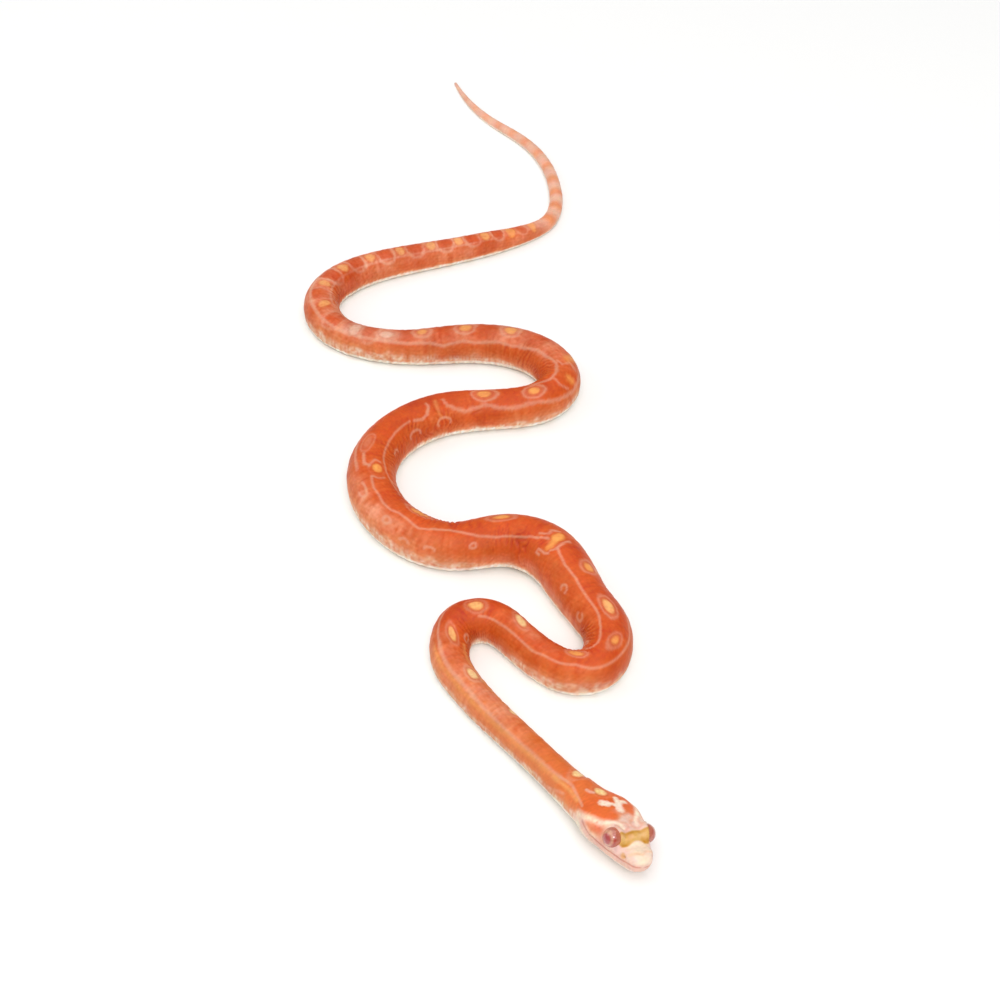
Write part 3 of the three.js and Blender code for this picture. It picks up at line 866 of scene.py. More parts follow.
        return [
            Stroke(right[:12], middling, p.line, 0.6, 0.3, 0.6),
            Stroke(neck_stripe, 0.5, p.stripe, 0.65, 0.3, 0.7),
            Stroke(low_stripe, 0.6, p.low_flank, 0.4, 0.3, 0.8),
            Stroke(right[11:], thin, p.line, 0.6),
            Stroke(right_2, thin, p.line, 0.58),
            Stroke(right_3, middling, p.line, 0.6, 0.5, 0.5),
            Stroke(left, thin, p.line, 0.5),
            Stroke(left_2, broad, p.line, 0.52, 0.6, 0.6),
            Stroke([(s, -a) for s, a in neck_stripe], 0.5, p.stripe, 0.65, 0.3, 0.7),
        ]

    def small_marks(self) -> list[Stroke]:
        """Gives the small pale rings and hooks on the flanks, and the frames of a few marks on the back.

        Returns:
            The strokes, in the order of painting.
        """
        p = self.palette

        def ring(
            s: float, angle: float, length: float, height: float, start: int, end: int, width: float
        ) -> Stroke:
            """Makes a ring or a part of one.

            Args:
                s: Its middle's distance from the snout.
                angle: Its middle's angle from the top of the back.
                length: Half its length in millimetres.
                height: Half its height in degrees.
                start: Where the line starts, in sixteenths of a turn.
                end: Where the line ends, in the same unit.
                width: Half the line's width in millimetres.

            Returns:
                The ring as a stroke.
            """
            places = []
            for step in range(start, end + 1):
                turn = step * math.pi / 8.0
                places.append((s + length * math.cos(turn), angle + height * math.sin(turn)))
            return Stroke(places, width, p.line, 0.6, 0.2)

        marks = [
            ring(158.2, -50, 0.9, 9, -2, 9, 0.22), ring(196.2, -48, 0.9, 6, 0, 16, 0.2),
            ring(218.4, -39, 1.2, 8, 0, 16, 0.26), ring(205.8, -60, 1.2, 7, 0, 8, 0.25),
            ring(230.5, -37, 2.4, 10, 2, 12, 0.3), ring(211.8, -62, 1.1, 7, 0, 8, 0.25),
            ring(249.0, 63, 1.5, 6, 7, 17, 0.24), ring(261.6, 66, 2.5, 10, 7, 17, 0.3),
            ring(273.6, 67, 2.6, 12, 7, 17, 0.34),
        ]
        hook = ((169.4, -34), (170.2, -40), (173.4, -42), (173.6, -50), (171.6, -50))
        marks += [
            Stroke(((169.3, 20), (169.2, 0), (169.4, -18), (169.8, -28)), 0.26, p.line, 0.7),
            Stroke(((173.4, 20), (174.9, 8), (174.3, -4), (176.4, -14)), 0.3, p.line, 0.6),
            Stroke(hook, 0.24, p.line, 0.7),
            Stroke(((263.6, 34), (266, 40), (268.6, 35), (269.9, 20), (270.3, 4)), 0.4, p.line, 0.6),
            Stroke(((232.6, 26), (232.4, 12), (233.2, -2)), 0.3, p.line, 0.55),
            Stroke(((239.2, 24), (239.8, 12), (238.2, 0), (236.8, -5)), 0.3, p.line, 0.5),
            Stroke(((237.5, -3), (238.6, -13), (242.5, -17)), 0.45, p.line, 0.6),
            Stroke(((310.4, 50), (309.2, 26), (309.9, 4)), 0.3, p.line, 0.5),
            Stroke(((316.4, 48), (317.6, 28), (316.4, 6), (318.6, -5)), 0.35, p.line, 0.5),
            Stroke(((272.9, 52), (272.6, 20), (272.9, 4)), 0.35, p.stripe, 0.45, 0.3, 0.7),
            Stroke(((171.7, 0), (171.3, -16), (171.2, -26)), 0.8, p.yolk, 0.65, 0.4, 0.6),
            Stroke(((312.6, 46), (312.4, 30)), 0.8, p.yolk, 0.55, 0.3, 0.8),
            Stroke(((320.4, 58), (319.0, 28)), 1.2, p.yolk, 0.6, 0.3, 0.9),
            Stroke(((21.0, -8), (21.6, -14), (22.6, -16)), 0.3, p.head_pink, 0.6, 0.3, 0.4),
        ]
        draw = np.random.default_rng(21)
        for s in np.arange(40.0, 470.0, 13.5):
            for side in (1, -1):
                left_hidden = side > 0 and (s < 84 or 150 < s < 236 or 318 < s < 405)
                right_hidden = side < 0 and (86 < s < 150 or 240 < s < 312 or s > 412)
                if left_hidden or right_hidden:
                    at = s + draw.uniform(-3, 3)
                    angle = side * draw.uniform(54, 70)
                    start = int(draw.integers(0, 8))
                    size = draw.uniform(0.9, 1.8)
                    marks.append(ring(at, angle, size, 9, start, start + int(draw.integers(9, 16)), 0.28))
        return marks

    def head_marks(self) -> list[Stroke]:
        """Gives the head's marks: the right side's, their mirror images, and the mark on the crown.

        Returns:
            The strokes, in the order of painting.
        """
        p = self.palette
        temple = ((11.8, -38), (13.4, -48), (15.2, -52), (16.8, -57), (18.4, -67), (20.0, -76))
        neck_line = ((20.5, -53), (22.6, -47), (25.0, -38), (26.6, -33.5), (28.2, -34), (30, -38))
        right = [
            Stroke(((13.0, -22), (14.5, -32), (17.0, -34), (19.5, -38)), 1.2, p.head_orange, 0.8, 0.2, 1.0),
            Stroke(((11.9, -63), (13.0, -66), (14.2, -70)), 0.5, p.head_orange, 0.4, 0.2, 0.9),
            Stroke(((9.2, -19), (10.2, -19), (11.0, -25), (12.2, -38)), 0.35, p.head_cream, 0.9, 0.1, 0.55),
            Stroke(temple, 0.8, p.head_cream, 0.75, 0.2, 0.9),
            Stroke(neck_line, 0.3, p.line, 0.75, 0.2),
            Stroke(((22.5, -54), (25, -50), (28, -48), (31, -50)), 0.45, p.stripe, 0.8, 0.2, 0.5),
            Stroke(((26.4, -70), (28.2, -74), (29.6, -82)), 0.3, p.line, 0.5, 0.2),
        ]
        mirrored = [replace(mark, places=[(s, -angle) for s, angle in mark.places]) for mark in right]
        crown = [
            Stroke(((13.9, 4), (14.7, 6)), 0.95, p.head_cream, 0.95, 0.25, 0.35),
            Stroke(((14.9, 9), (15.6, 20), (15.2, 28)), 0.5, p.head_cream, 0.95, 0.25, 0.35),
            Stroke(((15.2, 9), (16.2, 14), (16.9, 18)), 0.6, p.head_cream, 0.95, 0.25, 0.35),
            Stroke(((14.8, 4), (15.8, 0), (16.6, -7)), 0.38, p.head_cream, 0.95, 0.25, 0.35),
            Stroke(((16.5, -9), (17.4, -15)), 0.85, p.head_cream, 0.95, 0.25, 0.35),
        ]
        return right + mirrored + crown

    def colours(self, places: Array, s: Array, angle: Array, folds: Array) -> Array:
        """Paints the whole skin.

        Args:
            places: Points of the skin in millimetres.
            s: Their distances from the snout.
            angle: Their angles from the top of the back, in degrees.
            folds: How deep the skin is creased there, in millimetres.

        Returns:
            Linear colours, one for each point.
        """
        width = self.plan.half_width(s)
        per_degree = np.maximum(width, 1.0) * math.pi / 180.0
        drift = (0.20 * Noise(11, 5.0).at(places) + 0.10 * Noise(12, 1.8).at(places)) * smoothstep(16, 30, s)
        jitter = 0.5 * Noise(13, 1.3).at(places) + 0.5 * Noise(14, 0.7).at(places)
        s_here = s + drift
        angle_here = angle + drift * 2.0
        middle = table_reader(self.midline)(s)
        off_midline = np.abs(angle_here - middle * (1.0 - np.abs(angle_here) / 180.0))
        colour = self.base(places, s_here, angle_here, off_midline)
        self.saddles(colour, s_here, angle_here, off_midline)
        self.tail(colour, s_here, angle, jitter)
        self.streaks(colour, places, s, angle, folds)
        self.head(colour, places, s_here, angle_here)
        for stroke in self.side_lines():
            self.draw(colour, stroke, s_here, angle_here, per_degree, jitter)
        for oval in self.ovals():
            self.stamp(colour, oval, s_here, angle_here, per_degree, jitter)
        for stroke in self.small_marks() + self.head_marks():
            self.draw(colour, stroke, s_here, angle_here, per_degree, jitter)
        self.mottle(colour, places)
        # Painted light and shade: whole stretches of the body made lighter or darker to make up for how the
        # lamps light them.
        colour *= table_reader(self.light_and_shade_by_distance)(s)[..., None]
        return np.clip(colour - self.gloss, 0.004, 1.0)

    def base(self, places: Array, s: Array, angle: Array, off_midline: Array) -> Array:
        """Gives the ground colour from the back down to the belly.

        Args:
            places: Points of the skin in millimetres.
            s: Their distances from the snout.
            angle: Their angles from the top of the back, in degrees.
            off_midline: Their angles from the line of ovals, without sign.

        Returns:
            Linear colours, one for each point.
        """
        p = self.palette
        colour = np.empty(s.shape + (3,))
        colour[:] = p.flank
        paint(colour, p.back, smoothstep(50, 34, off_midline))
        paint(colour, p.neck, smoothstep(86, 62, s) * smoothstep(108, 90, off_midline) * 0.8)
        cloud = 0.75 + 0.35 * Noise(17, 6.0).at(places) + 0.15 * Noise(18, 2.0).at(places)
        top, right = smoothstep(46, 34, np.abs(angle)), bump(angle, -45, 26)
        rosy = 0.75 * bump(s, 63, 16) * top + 0.7 * bump(s, 113, 8) * bump(angle, -8, 20)
        rosy = rosy + 0.8 * bump(s, 222, 15) * right + 0.6 * smoothstep(312, 328, s) * top
        rosy = rosy + 0.5 * bump(s, 70, 14) * bump(angle, -62, 13)
        rosy = rosy + 0.9 * bump(s, 170, 24) * bump(angle, -90, 12)
        rosy = rosy + 0.45 * smoothstep(392, 420, s) * bump(angle, 66, 30) * (angle > 0)
        rosy = rosy + 0.35 * bump(s, 120, 24) * bump(angle, 82, 12) + 0.4 * smoothstep(372, 384, s) * right
        paint(colour, p.blush, np.clip(rosy * cloud, 0.0, 0.9))
        wobble = 4.0 * Noise(15, 4.0).at(places)
        low = np.abs(angle)
        edge = np.where(angle > 0, table_reader(self.left_comb)(s), table_reader(self.right_comb)(s))
        paint(colour, p.low_flank, smoothstep(edge - 30, edge + 8, low + wobble) * 0.75)
        tooth = np.mod(s / self.comb_spacing + 0.12 * wobble, 1.0)
        comb = smoothstep(0.0, 0.3, tooth) * smoothstep(1.0, 0.7, tooth)
        loose = smoothstep(-0.6, 0.8, Noise(16, 3.0).at(places))
        fringe = smoothstep(edge - 4, edge + 12, low + wobble) * (0.25 + 0.65 * comb)
        paint(colour, p.comb, fringe * (0.4 + 0.6 * loose))
        paint(colour, p.belly, smoothstep(104, 116, low))
        return colour

    def saddles(self, colour: Array, s: Array, angle: Array, off_midline: Array) -> None:
        """Paints the redder saddles between the ovals, with the pale arches round those of the rear half.

        Args:
            colour: The skin's colours so far, changed in place.
            s: Their distances from the snout.
            angle: Their angles from the top of the back, in degrees.
            off_midline: Their angles from the line of ovals, without sign.
        """
        p = self.palette
        front = (
            61, 75, 88, 100, 116, 130, 141, 153, 166, 180, 200, 224, 256, 280, 295, 308, 331, 346, 359.6, 371,
        )
        for at in front:
            mask = bump(s, at, 4.2) * smoothstep(42, 24, off_midline)
            paint(colour, p.saddle, (0.25 if at < 80 else 0.6) * mask)
        paint(colour, p.pale, 0.75 * bump(s, 376.5, 3.6) * bump(angle, -12, 20))
        paint(colour, p.pale, 0.75 * bump(s, 387, 3.2) * smoothstep(44, 30, np.abs(angle)))
        rear = (381.6, 394.6, 407.6, 418.3, 428.7, 439.2, 449.5, 459.3, 468.6, 477.6, 486.3, 494.4)
        for at in rear:
            half = 2.9 if at < 455 else 2.9 - 0.026 * (at - 455)
            fade = 0.45 if at < 412 or at > 480 else 0.75
            across = (s - at) / half
            dome = np.abs(across) ** 2.4 + np.abs(angle / 50.0) ** 2.6
            rim = bump(dome, 1.0, 0.34)
            paint(colour, p.saddle, fade * smoothstep(0.85, 0.55, dome))
            paint(colour, p.line, 0.8 * fade * rim)
        join = smoothstep(396, 402, s) * smoothstep(480, 474, s) * bump(np.abs(angle), 35, 4.5)
        paint(colour, p.line, 0.4 * join)

    def streaks(self, colour: Array, places: Array, s: Array, angle: Array, folds: Array) -> None:
        """Deepens the orange in long patches and fine streaks round the body, paints shade into the creases,
        and darkens flanks in the bends with their own deeper orange and painted shade.

        Args:
            colour: The skin's colours so far, changed in place.
            places: Points of the skin in millimetres.
            s: Their distances from the snout.
            angle: Their angles from the top of the back, in degrees.
            folds: How deep the skin is creased there, in millimetres.
        """
        p = self.palette
        round_body = np.radians(angle) * self.plan.half_width(s)
        fine = np.stack([s, round_body * 0.16, np.zeros_like(s)], axis=-1)
        streak = Noise(31, 1.1, 20).at(fine) + 0.7 * Noise(32, 2.6, 20).at(fine)
        patch = smoothstep(0.0, 1.6, Noise(35, 16.0).at(places) + 0.35 * streak)
        body = smoothstep(70, 96, s) * smoothstep(500, 470, s) * smoothstep(104, 90, np.abs(angle))
        paint(colour, p.deep, 0.6 * patch * body)
        # Flanks in the bends near 94, 181 and 262 mm and the back near 134 mm: partly their own deeper
        # orange, partly painted shade where they lie in shade.
        strong = bump(s, 94, 10) * smoothstep(22, 44, angle) + bump(s, 181, 11) * smoothstep(-18, -40, angle)
        strong = strong + bump(s, 262, 16) * smoothstep(50, 66, angle)
        strong = strong + bump(s, 134, 6) * smoothstep(40, 20, np.abs(angle))
        depth = np.clip(0.55 * strong * (0.75 + 0.3 * streak), 0, 1)
        paint(colour, p.deep, depth * smoothstep(106, 92, np.abs(angle)))
        # Painted shade in the creases of the skin, by how deep they are.
        paint(colour, p.deep, 0.6 * smoothstep(0.03, 0.2, folds) * smoothstep(104, 88, np.abs(angle)))
        grain = Noise(37, 1.0, 20).at(places)
        tone = (0.09 * streak + 0.07 * grain) * smoothstep(24, 60, s) * smoothstep(500, 470, s)
        colour[..., 0] *= 1.0 + 0.4 * tone
        colour[..., 1] *= 1.0 + 1.3 * tone
        colour[..., 2] *= 1.0 + 1.8 * tone

    def stamp(
        self, colour: Array, oval: Oval, s: Array, angle: Array, per_degree: Array, jitter: Array
    ) -> None:
        """Paints one oval and the pale ring round it.

        Args:
            colour: The skin's colours so far, changed in place.
            oval: The oval.
            s: Their distances from the snout.
            angle: Their angles from the top of the back, in degrees.
            per_degree: How many millimetres of skin one degree is there.
            jitter: Noise that roughens the edges.
        """
        rows = np.abs(s[:, 0] - oval.s) < oval.half_length + self.oval_margin
        tailward = s[rows] - oval.s
        sideways = (angle[rows] - oval.angle) * per_degree[rows]
        turn = math.radians(oval.tilt)
        along = tailward * math.cos(turn) + sideways * math.sin(turn)
        across = sideways * math.cos(turn) - tailward * math.sin(turn)
        reach = np.hypot(along / oval.half_length, across / oval.half_width)
        reach = reach + 0.08 * jitter[rows]
        size = 0.5 * (oval.half_length + oval.half_width)
        outside = (reach - 1.0) * size
        part = colour[rows]
        paint(part, self.palette.line, 0.85 * oval.ring * bump(outside, oval.ring_out, 0.42))
        paint(part, self.palette.line, 0.35 * oval.ring * smoothstep(oval.ring_out, 0.2, outside))
        speck = np.clip(0.85 + 0.3 * jitter[rows], 0.4, 1.0)
        paint(part, self.palette.deep, 0.45 * oval.strength * bump(outside, 0.25, 0.35))
        paint(part, oval.core, smoothstep(0.5, -0.4, outside) * oval.strength * speck)
        colour[rows] = part

    def draw(
        self, colour: Array, stroke: Stroke, s: Array, angle: Array, per_degree: Array, jitter: Array
    ) -> None:
        """Paints one stroke.

        Args:
            colour: The skin's colours so far, changed in place.
            stroke: The stroke.
            s: Their distances from the snout.
            angle: Their angles from the top of the back, in degrees.
            per_degree: How many millimetres of skin one degree is there.
            jitter: Noise that roughens the edges.
        """
        nearest = np.full(s.shape, 1e3)
        for (s_from, angle_from), (s_to, angle_to) in zip(stroke.places[:-1], stroke.places[1:]):
            lowest, highest = min(s_from, s_to) - self.stroke_margin, max(s_from, s_to) + self.stroke_margin
            rows = (s[:, 0] > lowest) & (s[:, 0] < highest)
            if not rows.any():
                continue
            scale = per_degree[rows]
            along, across = s[rows] - s_from, (angle[rows] - angle_from) * scale
            run, rise = s_to - s_from, (angle_to - angle_from) * scale
            square = np.maximum(run * run + rise * rise, 1e-9)
            share = np.clip((along * run + across * rise) / square, 0.0, 1.0)
            apart = np.hypot(along - share * run, across - share * rise)
            nearest[rows] = np.minimum(nearest[rows], apart)
        edge = nearest + stroke.ragged * stroke.half_width * jitter
        mask = smoothstep(stroke.half_width + stroke.soft, max(stroke.half_width - stroke.soft, 0.0), edge)
        paint(colour, stroke.colour, mask * stroke.strength * np.clip(1.0 + 0.3 * jitter, 0.0, 1.1))

    def tail(self, colour: Array, s: Array, angle: Array, jitter: Array) -> None:
        """Paints the tail: orange blotches on pale pink, fading to a pale tip.

        Args:
            colour: The skin's colours so far, changed in place.
            s: Their distances from the snout.
            angle: Their angles from the top of the back, in degrees.
            jitter: Noise that roughens the edges.
        """
        p = self.palette
        low = np.abs(angle)
        on_tail = smoothstep(488, 503, s + 0.06 * (60 - low))
        paint(colour, p.tail_pale, on_tail)
        blotches = (498.8, 507.0, 515.4, 523.6, 532.4, 541.4, 550.2, 557.6, 565.0, 572.6, 580.4, 587.6)
        for i, at in enumerate(blotches):
            strength = 0.85 - 0.05 * i
            mask = bump(s + 0.3 * jitter, at, 2.3 - 0.05 * i) * smoothstep(100, 60, low)
            paint(colour, p.tail_blotch, strength * mask)
        paint(colour, p.belly, on_tail * smoothstep(88, 108, low) * 0.8)
        paint(colour, p.tail_pale, smoothstep(584, 600, s) * 0.6)

    def head(self, colour: Array, places: Array, s: Array, angle: Array) -> None:
        """Paints the ground colours of the head: crown, ochre band, snout and lips, and painted shade in the
        nostril pits.

        Args:
            colour: The skin's colours so far, changed in place.
            places: Points of the skin in millimetres.
            s: Their distances from the snout.
            angle: Their angles from the top of the back, in degrees.
        """
        p = self.palette
        rows = s[:, 0] < self.head_until
        part, at, turn = colour[rows], s[rows], angle[rows]
        here = places[rows]
        back, out, up = self.plan.head_place(here)
        low = np.abs(turn)
        cloud = Noise(51, 3.2).at(here)
        on_head = smoothstep(23.0, 18.0, at)
        paint(part, p.head_orange, smoothstep(24.0, 19.0, at) * smoothstep(76, 60, low) * 0.75)
        paint(part, p.head_flush, 0.6 * on_head * smoothstep(56, 64, low))
        patch = bump(at, 18.0, 4.0) * smoothstep(0.2, 1.2, cloud)
        paint(part, p.deep, 0.35 * patch * smoothstep(60, 40, low))
        paint(part, p.head_flush, smoothstep(14.6, 11.6, at + 0.6 * cloud + 0.02 * low) * 0.95)
        paint(part, p.head_pink, smoothstep(12.6, 9.6, at + 0.9 * cloud + 0.02 * low) * 0.9)
        paint(part, p.head_flush, 0.6 * bump(np.hypot((at - 9.6) * 1.2, (low - 16) * 0.1), 1.2, 0.4))
        paint(part, p.head_cream, on_head * smoothstep(70, 88, low) * smoothstep(9.0, 13.0, at) * 0.75)
        paint(part, p.belly, on_head * smoothstep(92, 108, low) * 0.6)
        front_edge = 5.0 + 0.95 * bump(turn, 4.0, 26.0) + 0.25 * smoothstep(30, 50, low)
        rear_edge = 8.25 - 0.012 * low
        band = smoothstep(-0.25, 0.3, at - front_edge) * smoothstep(0.25, -0.3, at - rear_edge)
        band = band * smoothstep(54, 44, low)
        paint(part, p.head_pink, smoothstep(7.0, 5.0, at) * 0.9)
        paint(part, p.snout, smoothstep(6.4, 5.2, at) * smoothstep(48, 30, low))
        paint(part, p.snout, smoothstep(1.2, 0.3, at) * 0.6)
        paint(part, p.tan, 0.75 * bump(at, 2.2 + 0.01 * low + 0.3 * cloud, 0.45) * smoothstep(70, 40, low))
        paint(part, p.ochre, 0.95 * band)
        rim = bump(at - front_edge, 0.35, 0.45) * smoothstep(12, 34, low)
        rim = rim + 0.8 * bump(at - rear_edge, -0.35, 0.4)
        rim = rim * (0.55 + 0.45 * smoothstep(-0.5, 0.8, cloud))
        paint(part, p.tan, 0.45 * band * bump(at, 6.9, 0.5) * smoothstep(-0.8, 0.8, Noise(52, 1.6).at(here)))
        paint(part, p.dark_ochre * 0.9, np.clip(rim, 0, 1) * band)
        line = table_reader(SkinShape.mouth_line)(back)
        above = up - line
        along = smoothstep(16.8, 15.2, back)
        paint(part, p.lip, 0.7 * smoothstep(1.2, 0.4, above) * along)
        paint(part, p.lip, 0.5 * smoothstep(0.0, -0.3, above) * smoothstep(17.0, 15.0, back))
        paint(part, p.mouth, 0.75 * bump(above, 0.02, 0.24) * along)
        paint(part, p.belly, 0.6 * smoothstep(-1.0, -1.9, above) * on_head)
        labial = np.mod(back / 1.9 + 0.15, 1.0)
        seam = bump(labial, 0.5, 0.07) * bump(above, 0.55, 0.5) * along * smoothstep(1.6, 2.4, back)
        paint(part, p.head_flush, 0.5 * seam)
        nostril_back, nostril_out, nostril_up = self.plan.nostril
        for nostril_side in (1, -1):
            near = np.hypot((back - 3.6) * 1.1, up - 3.85) + 0.4 * np.abs(out - nostril_side * 3.8)
            paint(part, 0.6 * p.ochre + 0.4 * p.head_flush, 0.85 * smoothstep(1.15, 0.4, near))
            # Painted shade in the nostril's pit.
            pit = np.hypot(back - nostril_back, up - nostril_up)
            pit = pit + 0.35 * np.abs(out - nostril_side * nostril_out)
            paint(part, p.dark_ochre * 0.8, 0.4 * smoothstep(0.42, 0.2, pit))
        colour[rows] = part

    def mottle(self, colour: Array, places: Array) -> None:
        """Varies the colour a little everywhere.

        Args:
            colour: The skin's colours so far, changed in place.
            places: Points of the skin in millimetres.
        """
        shade = 1.0 + 0.04 * Noise(36, 6.0).at(places) + 0.035 * Noise(33, 0.9).at(places)
        colour *= shade[..., None]
        colour[..., 1] *= 1.0 + 0.03 * Noise(34, 3.0).at(places)


def paint(colour: Array, over: Array, mask: Array) -> None:
    """Lays one colour over those painted so far.

    Args:
        colour: Linear colours, changed in place.
        over: The colour to lay on.
        mask: How strongly, clipped to 0 to 1.
    """
    m = np.clip(mask, 0.0, 1.0)[..., None]
    colour *= 1.0 - m
    colour += over * m


class Finish:
    """A material with one principled shader, whose nodes are wired by the finishes below."""

    def __init__(self, name: str) -> None:
        """Makes the plain material.

        Args:
            name: Its name.
        """
        self.material = bpy.data.materials.new(name)
        self.material.use_nodes = True
        self.tree = self.material.node_tree
        self.shader = next(node for node in self.tree.nodes if node.type == "BSDF_PRINCIPLED")

    def set(self, socket: str, value: object) -> None:
        """Sets one of the shader's own sockets."""
        self.shader.inputs[socket].default_value = value

    def node(self, kind: str, **values: object) -> bpy.types.Node:
        """Adds a node.

        Args:
            kind: Blender's name for the kind of node.
            values: Its properties and sockets by name, with _ for a space in a socket's name.

        Returns:
            The node.
        """
        made = self.tree.nodes.new(kind)
        for name, value in values.items():
            if hasattr(made, name) and name not in made.inputs:
                setattr(made, name, value)
            else:
                made.inputs[name.replace("_", " ")].default_value = value
        return made

    def join(self, out: bpy.types.NodeSocket, into: bpy.types.NodeSocket) -> None:
        """Links two sockets."""
        self.tree.links.new(out, into)


@dataclass(frozen=True)
class SkinFinish:
    """Supple bare skin: the painted colour, a soft sheen and a very fine grain."""

    name: str = "supple_skin"
    roughness: float = 0.5
    grain: float = 2600.0
    grain_depth: float = 0.00006

    def make(self) -> bpy.types.Material:
        """Makes the material.

        Returns:
            The material.
        """
        finish = Finish(self.name)
        tint = finish.node("ShaderNodeVertexColor", layer_name="tint")
        where = finish.node("ShaderNodeTexCoord")
        speck = finish.node("ShaderNodeTexNoise", Scale=900.0, Detail=3.0, Roughness=0.6)
        finish.join(where.outputs["Object"], speck.inputs["Vector"])
        ramp = finish.node("ShaderNodeMapRange")
        ramp.inputs["To Min"].default_value = 0.90
        ramp.inputs["To Max"].default_value = 1.10
        finish.join(speck.outputs["Fac"], ramp.inputs["Value"])
        shade = finish.node("ShaderNodeVectorMath", operation="SCALE")
        finish.join(tint.outputs["Color"], shade.inputs[0])
        finish.join(ramp.outputs["Result"], shade.inputs["Scale"])
        finish.join(shade.outputs["Vector"], finish.shader.inputs["Base Color"])
        cells = finish.node("ShaderNodeTexVoronoi", Scale=self.grain)
        finish.join(where.outputs["Object"], cells.inputs["Vector"])
        wrinkle = finish.node("ShaderNodeTexNoise", Scale=1300.0, Detail=4.0, Roughness=0.65)
        finish.join(where.outputs["Object"], wrinkle.inputs["Vector"])
        heights = finish.node("ShaderNodeMath", operation="ADD")
        finish.join(cells.outputs["Distance"], heights.inputs[0])
        finish.join(wrinkle.outputs["Fac"], heights.inputs[1])
        relief = finish.node("ShaderNodeBump", Strength=0.5, Distance=self.grain_depth)
        finish.join(heights.outputs["Value"], relief.inputs["Height"])
        finish.join(relief.outputs["Normal"], finish.shader.inputs["Normal"])
        gloss = finish.node("ShaderNodeMapRange")
        gloss.inputs["To Min"].default_value = self.roughness - 0.07
        gloss.inputs["To Max"].default_value = self.roughness + 0.09
        finish.join(speck.outputs["Fac"], gloss.inputs["Value"])
        finish.join(gloss.outputs["Result"], finish.shader.inputs["Roughness"])
        finish.set("Specular IOR Level", 0.3)
        finish.set("Subsurface Weight", 0.12)
        finish.set("Subsurface Radius", (0.0012, 0.0005, 0.0003))
        finish.set("Subsurface Scale", 1.0)
        return finish.material


@dataclass(frozen=True)
class EyeFinish:
    """A wet eye under its clear spectacle."""

    name: str = "rose_eye"

    def make(self) -> bpy.types.Material:
        """Makes the material.

        Returns:
            The material.
        """
        finish = Finish(self.name)
        tint = finish.node("ShaderNodeVertexColor", layer_name="tint")
        finish.join(tint.outputs["Color"], finish.shader.inputs["Base Color"])
        finish.set("Roughness", 0.16)
        finish.set("Coat Weight", 1.0)
        finish.set("Coat Roughness", 0.03)
        finish.set("Specular IOR Level", 0.6)
        finish.set("Subsurface Weight", 0.1)
        finish.set("Subsurface Radius", (0.0008, 0.0003, 0.0003))
        return finish.material


@dataclass(frozen=True)
class FloorFinish:
    """Plain pale studio paper."""

    name: str = "pale_floor"
    colour: Sequence[float] = (0.96, 0.96, 0.955)

    def make(self) -> bpy.types.Material:
        """Makes the material.

        Returns:
            The material.
        """
        finish = Finish(self.name)
        finish.set("Base Color", (*self.colour, 1.0))
        finish.set("Roughness", 0.9)
        finish.set("Specular IOR Level", 0.1)
        return finish.material


def mesh_object(name: str, points: Array, faces: Array, material: bpy.types.Material) -> bpy.types.Object:
    """Makes a smooth-shaded object.

    Args:
        name: Its name.
        points: Its points in metres.
        faces: Rows of point numbers, with -1 for none.
        material: Its finish.

    Returns:
        The object, linked to the scene.
    """
    mesh = bpy.data.meshes.new(name)
    mesh.from_pydata(points.tolist(), [], [[v for v in row if v >= 0] for row in faces.tolist()])
    mesh.materials.append(material)
    mesh.shade_smooth()
    mesh.validate()
    made = bpy.data.objects.new(name, mesh)
    bpy.context.scene.collection.objects.link(made)
    return made


def closed_tube(rings: int, columns: int) -> Array:
    """Gives the faces of a tube that one more point closes at each end.

    Args:
        rings: How many rings of points it has.
        columns: How many points a ring has.

    Returns:
        Rows of point numbers, -1 for none. The two end points have the numbers after all the rings.
    """
    ids = np.arange(rings * columns).reshape(rings, columns)
    beside = np.roll(ids, -1, axis=1)
    none = np.full(columns, -1)
    quads = np.stack([ids[1:], beside[1:], beside[:-1], ids[:-1]], axis=-1).reshape(-1, 4)
    start = np.stack([none, np.full(columns, ids.size), ids[0], beside[0]], axis=-1)
    end = np.stack([none, np.full(columns, ids.size + 1), beside[-1], ids[-1]], axis=-1)
    return np.concatenate([quads, start, end])


def add_tint(made: bpy.types.Object, colours: Array) -> None:
    """Stores one colour for each point of an object.

    Args:
        made: The object.
        colours: Linear colours, one row for each point.
    """
    layer = made.data.color_attributes.new("tint", "FLOAT_COLOR", "POINT")
    rgba = np.concatenate([colours, np.ones((len(colours), 1))], axis=1)
    layer.data.foreach_set("color", rgba.astype(np.float32).ravel())


